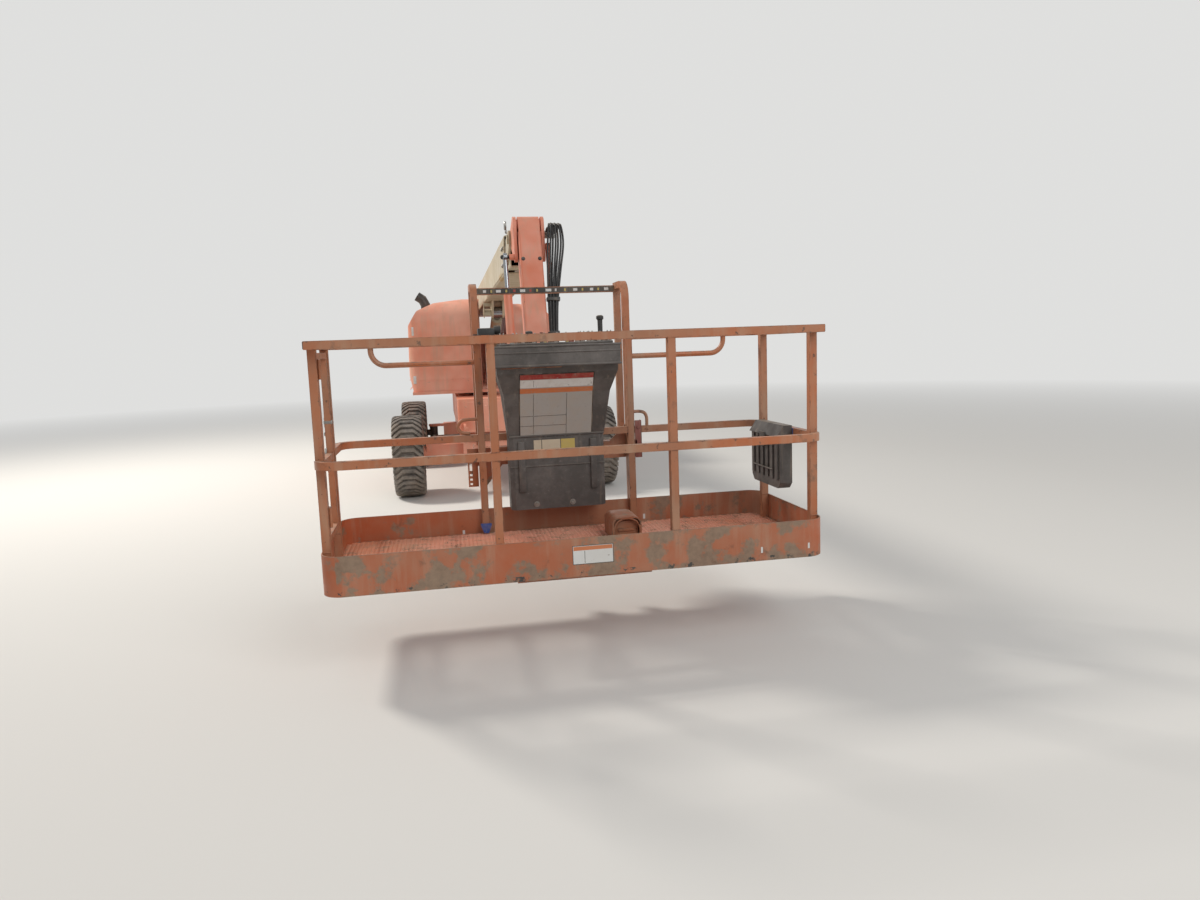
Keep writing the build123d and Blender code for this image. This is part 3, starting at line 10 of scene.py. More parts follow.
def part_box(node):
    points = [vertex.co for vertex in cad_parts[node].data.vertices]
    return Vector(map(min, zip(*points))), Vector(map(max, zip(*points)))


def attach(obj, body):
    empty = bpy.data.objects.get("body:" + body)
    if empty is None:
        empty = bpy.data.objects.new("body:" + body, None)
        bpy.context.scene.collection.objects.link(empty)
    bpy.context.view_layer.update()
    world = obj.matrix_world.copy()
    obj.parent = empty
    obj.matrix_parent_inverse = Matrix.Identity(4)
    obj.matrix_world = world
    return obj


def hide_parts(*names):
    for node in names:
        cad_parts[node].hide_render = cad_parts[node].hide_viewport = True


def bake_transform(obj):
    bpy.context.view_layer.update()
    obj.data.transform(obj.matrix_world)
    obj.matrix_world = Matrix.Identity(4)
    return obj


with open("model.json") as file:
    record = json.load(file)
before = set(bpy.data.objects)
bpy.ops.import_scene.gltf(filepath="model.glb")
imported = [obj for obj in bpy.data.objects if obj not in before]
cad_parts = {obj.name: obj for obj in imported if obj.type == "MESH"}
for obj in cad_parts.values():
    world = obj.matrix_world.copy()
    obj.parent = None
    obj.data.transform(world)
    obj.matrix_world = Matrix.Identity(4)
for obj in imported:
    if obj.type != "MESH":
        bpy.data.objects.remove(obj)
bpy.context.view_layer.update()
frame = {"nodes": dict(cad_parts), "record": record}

# Directions in the frame
UP = (0, 0, 1)
FRONT = (0, -1, 0)
LEFT = (-1, 0, 0)

# Camera of the photograph: place in metres, angles in degrees
PHOTO_WIDTH = 1200
FOCAL_PIXELS = 834.9
SENSOR_WIDTH = 36.0
CAMERA_PLACE = Vector((-0.641, -7.9955, 1.490))
CAMERA_YAW = 10.66
CAMERA_PITCH = -7.17
CAMERA_ROLL = -2.07

# Wheels
WHEEL_RADIUS = 0.42
TYRE_WIDTH = 0.310
LUG_COUNT = 37
LUG_BAR = 0.040
LUG_SWEEP = 0.092
LUG_MIDDLE = 0.060
LUG_PHASE = -math.pi / 2 + LUG_BAR / 2 / WHEEL_RADIUS
LUG_ROOT = 0.392
NUT_COUNT = 9
NUT_CIRCLE = 0.103
HUB_BOLT_COUNT = 5
HUB_BOLT_CIRCLE = 0.036

# Platform, in the frame's places
PLATFORM_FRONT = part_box("toe_board")[0].y
REAR_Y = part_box("toe_board")[1].y
BASKET_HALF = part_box("toe_board")[1].x
TOE_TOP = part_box("toe_board")[1].z
RAIL_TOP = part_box("front_rails")[1].z
MID_TOP = 1.016
TUBE = 0.038
RAIL_INSET = 0.005
FRONT_POSTS = (-0.409, 0.441)
BAY_X = 0.430
FLOOR_CORNER = 0.09
CROSS_MEMBERS = 6
MESH_SHORT = 0.022
MESH_LONG = 0.045
WELD = 0.003

# Console: (height, depth in front of its back) rows down its sloping front, and its lid
CONSOLE_X = -0.025
CONSOLE_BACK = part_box("console_box")[1].y
CONSOLE_FRONT = ((1.50, 0.330), (1.355, 0.306), (1.245, 0.240), (1.010, 0.150), (0.600, 0.150))
LID_HALF = 0.335
LID_DEPTH = 0.330
LID_BOW = 0.035
PANEL_TOP = 1.513
PLACARD_LEFT = -0.226
PLACARD_RIGHT = 0.166
SHEET_THICKNESS = 0.0025

# Jib: its upper pin, the directions down it and out of its face, and its hoses
JIB_TOP = Vector((0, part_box("jib_tube")[1].y - 0.058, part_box("jib_tube")[1].z - 0.058))
JIB_DOWN = Vector((0, -0.2584, -0.9660))
JIB_OUT = Vector((0, -0.9660, 0.2584))
JIB_TILT = -0.261
JIB_HALF = 0.075
HOSE_COUNT = 7
HOSE_RADIUS = 0.0068
HOSE_START_X = 0.142
HOSE_START_SPREAD = 0.050

# Turntable, boom and hoods
SWING_Y = 2.05555
BEARING_BOLTS = 30
BEARING_CIRCLE = 0.425
BEARING_TOP = 1.0
BOOM_PIVOT_Y = SWING_Y + 1.45
BOOM_PIVOT_Z = 2.0
BOOM_SIDE = 0.127
MOUTH_ROWS = (-1.69, -1.60)
LOUVRE_LOW = 1.32
LOUVRE_HIGH = 1.62
LOUVRE_SLATS = 9

# Finishes, as linear colours
HOOD_ORANGE = (0.66, 0.195, 0.105)
HOOD_FADED = (0.80, 0.39, 0.28)
PLATFORM_ORANGE = (0.43, 0.098, 0.032)
PLATFORM_FADED = (0.36, 0.145, 0.075)
RAIL_ORANGE = (0.44, 0.125, 0.040)
RAIL_FADED = (0.33, 0.150, 0.080)
GRATING_ORANGE = (0.68, 0.26, 0.145)
PRIMER = (0.26, 0.175, 0.115)
TOE_BARE = (0.26, 0.168, 0.110)
CREAM = (0.42, 0.35, 0.235)
CREAM_FADED = (0.49, 0.42, 0.30)
RUST = (0.15, 0.062, 0.032)
DUST = (0.42, 0.32, 0.22)
RUBBER = (0.055, 0.050, 0.046)
RUBBER_DUST = (0.27, 0.23, 0.195)
MOULDING = (0.072, 0.064, 0.058)
MOULDING_WORN = (0.140, 0.124, 0.113)
SCUFF = (0.28, 0.26, 0.235)
BLACK = (0.014, 0.014, 0.014)
BLACK_WORN = (0.040, 0.038, 0.036)
STEEL = (0.32, 0.31, 0.29)
# Chrome made dark and slightly blue, darker than bare chrome: a painted reflection of shaded surroundings
# and sky
CHROME_WITH_PAINTED_REFLECTION = (0.30, 0.31, 0.33)
WHEEL_WHITE = (0.42, 0.39, 0.35)
WHITE = (0.66, 0.65, 0.62)
SAND = (0.52, 0.44, 0.32)
LABEL_GREY = (0.38, 0.36, 0.33)
RED = (0.32, 0.030, 0.024)
DARK_RED = (0.13, 0.022, 0.018)
DARK_RED_FADED = (0.19, 0.035, 0.028)
LABEL_ORANGE = (0.56, 0.17, 0.06)
BLUE = (0.035, 0.09, 0.32)
YELLOW = (0.50, 0.38, 0.10)
DECAL_GOLD = (0.42, 0.29, 0.13)
FLOOR_COLOUR = (0.66, 0.64, 0.60)
SKY_COLOUR = (0.90, 0.92, 0.96)
SKY_LIGHT = 0.54
BACKDROP = (0.74, 0.74, 0.73)
KEY_COLOUR = (1.0, 0.96, 0.90)


class Nodes:
    """A node tree, with short names for what the surfaces and the surroundings use."""

    def __init__(self, tree):
        self.tree = tree

    def feed(self, socket, value):
        """Links another node's output to a socket, or sets a number, vector or colour on it."""
        if isinstance(value, bpy.types.NodeSocket):
            self.tree.links.new(value, socket)
        else:
            socket.default_value = (*value, 1.0) if socket.type == "RGBA" else value

    def node(self, kind, inputs=(), **settings):
        made = self.tree.nodes.new(kind)
        for key, value in settings.items():
            setattr(made, key, value)
        for key, value in dict(inputs).items():
            self.feed(made.inputs[key], value)
        return made

    def math(self, operation, *values):
        return self.node("ShaderNodeMath", dict(enumerate(values)), operation=operation).outputs["Value"]

    def seen_directly(self):
        """1 for what the camera, gloss and glass see, 0 for light that the surface sends out."""
        rays = self.node("ShaderNodeLightPath").outputs
        share = rays["Is Camera Ray"]
        for name in ("Is Glossy Ray", "Is Transmission Ray"):
            share = self.math("MAXIMUM", share, rays[name])
        return share


class Surface(Nodes):
    """A material's nodes round its Principled shader."""

    def __init__(self, name, roughness, metallic=0.0):
        self.material = bpy.data.materials.new(name)
        self.material.use_nodes = True
        super().__init__(self.material.node_tree)
        self.shader = self.tree.nodes["Principled BSDF"]
        self.feed(self.shader.inputs["Roughness"], roughness)
        self.feed(self.shader.inputs["Metallic"], metallic)
        self.place = self.node("ShaderNodeTexCoord").outputs["Object"]

    def noise(self, scale, detail=3.0, rough=0.5, stretch=(1, 1, 1)):
        mapping = self.node("ShaderNodeMapping", {"Scale": stretch, "Vector": self.place})
        inputs = {"Scale": scale, "Detail": detail, "Roughness": rough, "Vector": mapping.outputs["Vector"]}
        return self.node("ShaderNodeTexNoise", inputs).outputs["Fac"]

    def ramp(self, source, low, high, start=0.0, end=1.0):
        """A source stretched so that low gives start and high gives end."""
        inputs = {"Value": source, "From Min": low, "From Max": high, "To Min": start, "To Max": end}
        return self.node("ShaderNodeMapRange", inputs).outputs["Result"]

    def patches(self, low, high, *noise):
        """0 to 1 in soft patches, from a noise and the two levels between which it rises."""
        return self.ramp(self.noise(*noise), low, high)

    def part(self, source, share):
        """A source made weaker by a share."""
        return self.math("MULTIPLY", source, share)

    def mix(self, share, first, second):
        inputs = {"Factor": share, 6: first, 7: second}
        return self.node("ShaderNodeMix", inputs, data_type="RGBA").outputs[2]

    def within(self, low, high):
        """1 inside a block between two corners, 0 outside it."""
        split = self.node("ShaderNodeSeparateXYZ", {"Vector": self.place})
        share = 1.0
        for axis, least, most in zip("XYZ", low, high):
            share = self.math("MULTIPLY", share, self.math("GREATER_THAN", split.outputs[axis], least))
            share = self.math("MULTIPLY", share, self.math("LESS_THAN", split.outputs[axis], most))
        return share

    def facing_up(self):
        """1 on faces that look up, 0 on upright ones."""
        normal = self.node("ShaderNodeNewGeometry").outputs["Normal"]
        split = self.node("ShaderNodeSeparateXYZ", {"Vector": normal})
        return self.ramp(split.outputs["Z"], 0.55, 0.9)

    def edges(self, radius):
        """1 on edges of a form, 0 on its flat faces."""
        normals = [self.node("ShaderNodeBevel", {"Radius": radius}, samples=4).outputs["Normal"],
                   self.node("ShaderNodeNewGeometry").outputs["Normal"]]
        dot = self.node("ShaderNodeVectorMath", dict(enumerate(normals)), operation="DOT_PRODUCT")
        return self.ramp(dot.outputs["Value"], 0.995, 0.85)

    def colour(self, source):
        self.feed(self.shader.inputs["Base Color"], source)

    def roughness(self, scale, detail, low, high, *noise):
        """Roughness between two levels, by a noise."""
        source = self.ramp(self.noise(scale, detail, *noise), 0.3, 0.7, low, high)
        self.feed(self.shader.inputs["Roughness"], source)

    def bump(self, source, strength, distance):
        """Relief, on top of what the surface already has."""
        node = self.node("ShaderNodeBump", {"Strength": strength, "Distance": distance, "Height": source})
        normal = self.shader.inputs["Normal"]
        if normal.is_linked:
            self.feed(node.inputs["Normal"], normal.links[0].from_socket)
        self.feed(normal, node.outputs["Normal"])


def paint(name, fresh, faded, under, chips=0.62, chip_size=14, dust=0.25, rust=0.0, gloss=0.42,
          top_wear=0.0, scraped=None, scabs=None, soft=0.025, decals=()):
    """Weathered paint: bleached patches, streaks, chips, rust, dust, and flat decals of one colour."""
    s = Surface(name, gloss)
    body = s.mix(s.patches(0.38, 0.64, 1.1, 4, 0.6), fresh, faded)
    streaks = s.patches(0.50, 0.74, 9, 4, 0.6, (1.6, 1.6, 0.16))
    body = s.mix(s.part(streaks, 0.45), body, DUST)
    worn = s.math("ADD", s.noise(chip_size, 9, 0.66), s.part(s.edges(0.007), 0.14))
    if top_wear:
        worn = s.math("ADD", worn, s.part(s.facing_up(), top_wear))
    if scraped:
        worn = s.math("ADD", worn, s.part(s.within(*scraped), 0.075))
    bare = s.ramp(worn, chips, chips + soft)
    tone = s.mix(s.patches(0.4, 0.65, 34, 5, 0.6), under, tuple(0.78 * part for part in under))
    body = s.mix(bare, body, tone)
    if rust:
        body = s.mix(s.part(s.patches(0.70 - rust, 0.80 - rust, 7, 6, 0.7), 0.8), body, RUST)
    if scabs:
        pitted = s.part(s.within(*scabs), s.patches(0.56, 0.585, 16, 7, 0.75))
        body = s.mix(pitted, body, BLACK_WORN)
    for low, high, colour in decals:
        kept = s.part(s.within(low, high), s.patches(0.70, 0.64, 45, 6, 0.7))
        body = s.mix(kept, body, colour)
    dusty = s.math("ADD", s.patches(0.42, 0.75, 3.1, 5, 0.65), s.part(s.facing_up(), 0.5))
    s.colour(s.mix(s.part(dusty, dust), body, DUST))
    s.roughness(11, 4, gloss - 0.06, gloss + 0.26)
    s.bump(s.noise(260, 2), 0.08, 0.0006)
    s.bump(bare, 0.3, -0.0008)
    return s.material


def rubber(name):
    """Sun-bleached, dusty tyre rubber with fine cracks."""
    s = Surface(name, 0.85)
    body = s.mix(s.patches(0.34, 0.66, 7, 7, 0.72), RUBBER, RUBBER_DUST)
    body = s.mix(s.part(s.patches(0.45, 0.7, 2.2, 3), 0.30), body, DUST)
    s.colour(s.mix(s.patches(0.62, 0.7, 60, 6, 0.75), body, RUBBER))
    s.roughness(20, 4, 0.75, 0.95)
    s.bump(s.noise(120, 4, 0.6), 0.25, 0.0015)
    return s.material


def plastic(name, base, worn, gloss=0.5):
    """Moulded plastic with scuffs, drips, dust and a pebbled grain."""
    s = Surface(name, gloss)
    body = s.mix(s.patches(0.44, 0.70, 5, 7, 0.7), base, worn)
    chalk = s.ramp(s.math("ADD", s.noise(40, 6, 0.7), s.part(s.edges(0.006), 0.10)), 0.64, 0.72)
    body = s.mix(s.part(chalk, 0.5), body, SCUFF)
    body = s.mix(s.part(s.patches(0.58, 0.70, 14, 5, 0.65, (1.5, 1.5, 0.12)), 0.25), body, DUST)
    s.colour(s.mix(s.part(s.facing_up(), 0.28), body, DUST))
    s.roughness(18, 4, gloss - 0.08, gloss + 0.18)
    s.bump(s.noise(420, 2), 0.12, 0.0005)
    return s.material


def metal(name, base, gloss, stain):
    """Bare metal with stains and fine scratches."""
    s = Surface(name, gloss, 1.0)
    s.colour(s.mix(s.part(s.patches(0.5, 0.75, 9, 6, 0.7), stain), base, RUST))
    s.roughness(40, 4, gloss - 0.05, gloss + 0.2, 0.6, (1, 1, 6))
    s.bump(s.noise(180, 3, 0.6, (1, 1, 5)), 0.08, 0.0004)
    return s.material


def printed(name, base, gloss):
    """Printed or painted colour with fading, grime and worn-off spots."""
    s = Surface(name, gloss)
    body = s.mix(s.part(s.patches(0.42, 0.78, 22, 5, 0.65), 0.35), base, DUST)
    s.colour(s.mix(s.part(s.patches(0.60, 0.66, 55, 6, 0.7), 0.6), body, SCUFF))
    s.roughness(30, 3, gloss - 0.06, gloss + 0.15)
    s.bump(s.noise(300, 2), 0.05, 0.0003)
    return s.material


def board_decal(x0, x1, z0, z1, colour, y=PLATFORM_FRONT, reach=0.01):
    """A flat decal on an upright board, by its sides and heights."""
    return (x0, y - reach, z0), (x1, y + reach, z1), colour


TOE_DECALS = (
    board_decal(-0.072, 0.126, 0.459, 0.551, BLACK_WORN),
    board_decal(-0.069, 0.123, 0.462, 0.548, WHITE),
    board_decal(-0.067, 0.121, 0.527, 0.546, LABEL_ORANGE),
    board_decal(-0.0145, -0.012, 0.466, 0.524, BLACK_WORN),
    board_decal(0.870, 0.880, 0.440, 0.470, WHITE),
    board_decal(1.118, 1.128, 0.444, 0.472, WHITE, reach=0.02),
    board_decal(0.493, 0.506, 0.461, 0.490, WHITE, REAR_Y, 0.02),
    board_decal(-0.563, -0.550, 0.442, 0.472, WHITE, REAR_Y, 0.02),
)
TOE_FRONT = ((-BASKET_HALF, PLATFORM_FRONT - 0.01, 0.40), (BASKET_HALF, PLATFORM_FRONT + 0.004, TOE_TOP))
TOE_EDGE = ((-BASKET_HALF, PLATFORM_FRONT - 0.01, 0.40), (BASKET_HALF, PLATFORM_FRONT + 0.2, 0.425))
RAIL_TAPE = ((BASKET_HALF - 0.05, -3.862, MID_TOP - 0.045),
             (BASKET_HALF + 0.01, -3.846, MID_TOP + 0.01), BLUE)
BOOM_DECAL = ((-0.16, -1.42, 1.84), (-0.10, -1.14, 2.07), DECAL_GOLD)

# Painted finishes: fresh and faded colours, what shows under the chips, and the wear
PAINTS = {
    "faded_orange": (HOOD_ORANGE, HOOD_FADED, PRIMER, dict(chips=0.72, dust=0.14)),
    "cast_weight": (HOOD_ORANGE, HOOD_FADED, PRIMER, dict(chips=0.66, dust=0.2)),
    "platform_paint": (PLATFORM_ORANGE, PLATFORM_FADED, PRIMER, dict(chips=0.58, dust=0.2, rust=0.06)),
    "rail_paint": (RAIL_ORANGE, RAIL_FADED, RUST, dict(chips=0.62, chip_size=24, dust=0.30, rust=0.10,
                                                       top_wear=0.09, decals=(RAIL_TAPE,))),
    "toe_paint": (PLATFORM_ORANGE, PLATFORM_FADED, TOE_BARE,
                  dict(chips=0.555, chip_size=6.5, dust=0.28, rust=0.09, soft=0.06, scraped=TOE_FRONT,
                       scabs=TOE_EDGE, decals=TOE_DECALS)),
    "grating_paint": (GRATING_ORANGE, HOOD_FADED, PRIMER, dict(chips=0.70, dust=0.35)),
    "cream_paint": (CREAM, CREAM_FADED, RUST, dict(chips=0.74, dust=0.16, decals=(BOOM_DECAL,))),
    "wheel_paint": (WHEEL_WHITE, SAND, RUST, dict(chips=0.64, dust=0.4, rust=0.06)),
    "black_paint": (BLACK, BLACK_WORN, STEEL, dict(chips=0.72, dust=0.18)),
    "dark_red": (DARK_RED, DARK_RED_FADED, PRIMER, dict(chips=0.66, dust=0.2)),
}
# Moulded finishes: base colour, worn colour and roughness
PLASTICS = {
    "dark_plastic": (MOULDING, MOULDING_WORN, 0.5),
    "pad_plastic": (WHITE, DUST, 0.5),
    "hose_rubber": (BLACK, BLACK_WORN, 0.45),
}
# Printed finishes: colour and roughness
PRINTS = {
    "label_white": (WHITE, 0.4),
    "label_grey": (LABEL_GREY, 0.4),
    "label_sand": (SAND, 0.4),
    "label_red": (RED, 0.4),
    "label_orange": (LABEL_ORANGE, 0.4),
    "label_yellow": (YELLOW, 0.4),
    "yellow_paint": (YELLOW, 0.5),
    "blue_paint": (BLUE, 0.5),
    "reflector": (WHITE, 0.15),
}
MATERIALS = {name: paint(name, *colours, **wear) for name, (*colours, wear) in PAINTS.items()}
MATERIALS.update({name: plastic(name, *values) for name, values in PLASTICS.items()})
MATERIALS.update({name: printed(name, *values) for name, values in PRINTS.items()})
MATERIALS["tyre_rubber"] = rubber("tyre_rubber")
# The rod's chrome colour is darkened and blued, a painted reflection of shade and sky
MATERIALS["rod_chrome"] = metal("rod_chrome", CHROME_WITH_PAINTED_REFLECTION, 0.12, 0.08)
MATERIALS["bare_steel"] = metal("bare_steel", STEEL, 0.42, 0.45)

RAIL_NODES = ("front_rails", "left_rails", "right_rails", "rear_rails", "gate", "console_bay")
FINISH_OF = {row["node"]: row["material_slot"] for row in frame["record"]["subparts"]}
FINISH_OF.update({node: "rail_paint" for node in RAIL_NODES})
FINISH_OF["toe_board"] = "toe_paint"
for node_name, node in frame["nodes"].items():
    node.data.materials.clear()
    node.data.materials.append(MATERIALS[FINISH_OF[node_name]])


def around(sides, start=0.0):
    """Angles of the corners of a ring."""
    return [start + 2 * math.pi * index / sides for index in range(sides)]


def bend(points, steps=6):
    """A smooth line through points, with a few steps on each run."""
    points = [Vector(point) for point in points]
    whole = [points[0] * 2 - points[1]] + points + [points[-1] * 2 - points[-2]]
    made = []
    for before, start, end, after in zip(whole, whole[1:], whole[2:], whole[3:]):
        for step in range(steps):
            t = step / steps
            made.append(0.5 * (2 * start + (end - before) * t
                               + (2 * before - 5 * start + 4 * end - after) * t ** 2
                               + (3 * start - before - 3 * end + after) * t ** 3))
    return made + [points[-1]]


def in_scene(name, data):
    """A new object with its mesh, lamp or camera."""
    made = bpy.data.objects.new(name, data)
    bpy.context.scene.collection.objects.link(made)
    return made


class Form:
    """A mesh in the making, in metres, that becomes one piece of the scene."""

    def __init__(self):
        self.mesh = bmesh.new()

    def box(self, low, high, bevel=0.0, turn=None):
        """A block between two corners, turned about its middle and with its edges broken."""
        low, high = Vector(low), Vector(high)
        verts = bmesh.ops.create_cube(self.mesh, size=1.0)["verts"]
        place = Matrix.Translation((low + high) / 2)
        if turn is not None:
            place = place @ turn
        matrix = place @ Matrix.Diagonal((*(high - low), 1.0))
        bmesh.ops.transform(self.mesh, matrix=matrix, verts=verts)
        if bevel:
            edges = list({edge for vert in verts for edge in vert.link_edges})
            bmesh.ops.bevel(self.mesh, geom=edges, offset=bevel, segments=2, affect="EDGES", profile=0.6)

    def ring(self, points):
        return [self.mesh.verts.new(point) for point in points]

    def circle(self, middle, first, second, radius, sides):
        return self.ring(middle + (first * cos(turn) + second * sin(turn)) * radius
                         for turn in around(sides))

    def skin(self, rings, closed=False):
        """Faces between rings of equal length, closed in a loop or with a cap on each end."""
        pairs = list(zip(rings, rings[1:] + rings[:1])) if closed else list(zip(rings, rings[1:]))
        for ring, following in pairs:
            for index in range(len(ring)):
                after = (index + 1) % len(ring)
                self.mesh.faces.new((ring[index], ring[after], following[after], following[index]))
        if not closed:
            self.mesh.faces.new(list(reversed(rings[0])))
            self.mesh.faces.new(rings[-1])

    def tube(self, points, radius, sides=10):
        """A round bar along a path."""
        points = [Vector(point) for point in points]
        rings = []
        normal = None
        for before, point, after in zip(points[:1] + points, points, points[1:] + points[-1:]):
            ahead = (after - before).normalized()
            if normal is None:
                normal = ahead.orthogonal()
            normal = (normal - ahead * normal.dot(ahead)).normalized()
            rings.append(self.circle(point, normal, ahead.cross(normal), radius, sides))
        self.skin(rings)

    def turned(self, profile, origin, axis, sides=32, closed=False):
        """A form turned about an axis, from (distance along it, radius) pairs."""
        axis = Vector(axis).normalized()
        first = axis.orthogonal().normalized()
        second = axis.cross(first)
        origin = Vector(origin)
        self.skin([self.circle(origin + axis * along, first, second, radius, sides)
                   for along, radius in profile], closed)

    def bolt(self, place, axis, across=0.022, height=0.011):
        """A hexagon head on a washer."""
        reach = across / 2
        self.turned([(0, reach * 1.3), (0.0025, reach * 1.3)], place, axis, 16)
        self.turned([(0.002, reach), (height * 0.8, reach), (height, reach * 0.84)], place, axis, 6)

    def weld(self, start, end, radius=WELD):
        """A lumpy bead of weld between two points."""
        start, end = Vector(start), Vector(end)
        steps = max(2, int((end - start).length / 0.006))
        ahead = (end - start) / steps
        normal = ahead.orthogonal().normalized()
        side = ahead.normalized().cross(normal)
        self.skin([self.circle(start + ahead * step, normal, side, radius * (0.8 + 0.3 * (step % 2)), 6)
                   for step in range(steps + 1)])

    def piece(self, name, finish, body=None, replaces=(), smooth=0.6):
        """Makes the object, gives it its material and hangs it on its body, if it has one."""
        bmesh.ops.recalc_face_normals(self.mesh, faces=self.mesh.faces)
        data = bpy.data.meshes.new(name)
        self.mesh.to_mesh(data)
        self.mesh.free()
        made = in_scene(name, data)
        data.materials.append(MATERIALS[finish])
        data.polygons.foreach_set("use_smooth", [True] * len(data.polygons))
        data.set_sharp_from_angle(angle=smooth)
        if body:
            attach(made, body)
        if replaces:
            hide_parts(*replaces)
        return made


def tyre_form():
    """Tyre with rounded shoulders and arched lugs with broken edges, about the X axis at the origin."""
    half = TYRE_WIDTH / 2
    side = [(0.125, 0.2255), (0.138, 0.232), (0.149, 0.252), (0.153, 0.285), (0.1545, 0.292),
            (0.1545, 0.300), (0.153, 0.306), (0.152, 0.335), (0.1535, 0.341), (0.1535, 0.349),
            (0.150, 0.356), (0.143, 0.374), (0.126, 0.387), (0.070, 0.394)]
    inner = [(0.125, 0.2252), (-0.125, 0.2252)]
    form = Form()
    profile = [(-x, r) for x, r in side] + [(x, r) for x, r in reversed(side)] + inner
    form.turned(profile, (0, 0, 0), (1, 0, 0), 96, closed=True)
    # (share of the half width, crest radius) across a lug
    shoulder = ((1.0, 0.378), (0.985, 0.397), (0.93, 0.409), (0.8, 0.4165), (0.41, 0.4195), (0.37, 0.4195))
    stations = [(-share, crest) for share, crest in shoulder] + list(reversed(shoulder))
    wide, narrow = LUG_BAR * 0.60 / WHEEL_RADIUS, LUG_BAR * 0.44 / WHEEL_RADIUS
    break_angle, break_depth = 0.006, 0.005
    for index in range(LUG_COUNT):
        rings = []
        for share, crest in stations:
            x = share * half
            set_back = max(0.0, abs(x) - LUG_MIDDLE) / (half - LUG_MIDDLE) * LUG_SWEEP
            middle = 2 * math.pi * index / LUG_COUNT + set_back / WHEEL_RADIUS + LUG_PHASE
            root = min(crest, LUG_ROOT) - 0.012
            edge = crest - break_depth
            corners = ((-wide, root), (-narrow - break_angle, edge), (-narrow, crest), (narrow, crest),
                       (narrow + break_angle, edge), (wide, root))
            rings.append(form.ring((x, r * cos(middle + turn), r * sin(middle + turn))
                                   for turn, r in corners))
        form.skin(rings)
    return form


def rim_form(side, driven):
    """Dished wheel disc in a flanged barrel, with studs, nuts and a hub cap."""
    axis = (side, 0, 0)
    barrel = [(-0.125, 0.2245), (-0.121, 0.2245), (-0.112, 0.216), (-0.06, 0.212), (0.06, 0.212),
              (0.112, 0.216), (0.121, 0.2245), (0.125, 0.2245), (0.125, 0.219), (0.110, 0.209),
              (0.04, 0.204), (-0.110, 0.206), (-0.125, 0.216)]
    disc = [(0.104, 0.210), (0.098, 0.206), (0.090, 0.188), (0.074, 0.140), (0.068, 0.122), (0.066, 0.085),
            (0.050, 0.085), (0.052, 0.120), (0.060, 0.140), (0.076, 0.192), (0.092, 0.212)]
    hub = [(-0.014, 0.089), (0.046, 0.089), (0.052, 0.085), (0.072, 0.084), (0.074, 0.060)]
    hub += [(0.104, 0.058), (0.112, 0.050)] if driven else [(0.092, 0.046), (0.098, 0.034)]
    nut = [(0, 0.012), (0.004, 0.012), (0.0045, 0.0105), (0.018, 0.0105), (0.02, 0.008)]
    stud = [(0.018, 0.006), (0.030, 0.006), (0.031, 0.004)]
    form = Form()
    form.turned(barrel, (0, 0, 0), axis, 72, closed=True)
    form.turned(disc, (0, 0, 0), axis, 72, closed=True)
    form.turned(hub, (0, 0, 0), axis, 48)
    for turn in around(NUT_COUNT):
        place = (side * 0.067, NUT_CIRCLE * cos(turn), NUT_CIRCLE * sin(turn))
        form.turned(nut, place, axis, 6)
        form.turned(stud, place, axis, 10)
    face = side * (0.108 if driven else 0.094)
    for turn in around(HUB_BOLT_COUNT, 0.3):
        place = (face, HUB_BOLT_CIRCLE * cos(turn), HUB_BOLT_CIRCLE * sin(turn))
        form.bolt(place, axis, 0.011, 0.006)
    return form


def wheels():
    """Four detailed wheels in place of the plain ones."""
    for axle in ("drive", "steer"):
        for side, name in ((-1, "left"), (1, "right")):
            low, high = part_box(f"{axle}_rim_{name}")
            centre = Vector(((low.x + high.x) / 2, (low.y + high.y) / 2, WHEEL_RADIUS))
            body = f"{axle}_wheel_{name}"
            for part, form, finish in (("tyre", tyre_form(), "tyre_rubber"),
                                       ("rim", rim_form(side, axle == "drive"), "wheel_paint")):
                bmesh.ops.translate(form.mesh, vec=centre, verts=form.mesh.verts)
                form.piece(f"{body}_{part}", finish, body, (f"{axle}_{part}_{name}",), 0.5)


def floor_reach(y, low, high):
    """Half the floor's width at one place along it, with its rounded corners."""
    near = min(y - low.y, high.y - y)
    if near >= FLOOR_CORNER:
        return high.x
    return high.x - FLOOR_CORNER + math.sqrt(max(0.0, FLOOR_CORNER ** 2 - (FLOOR_CORNER - near) ** 2))


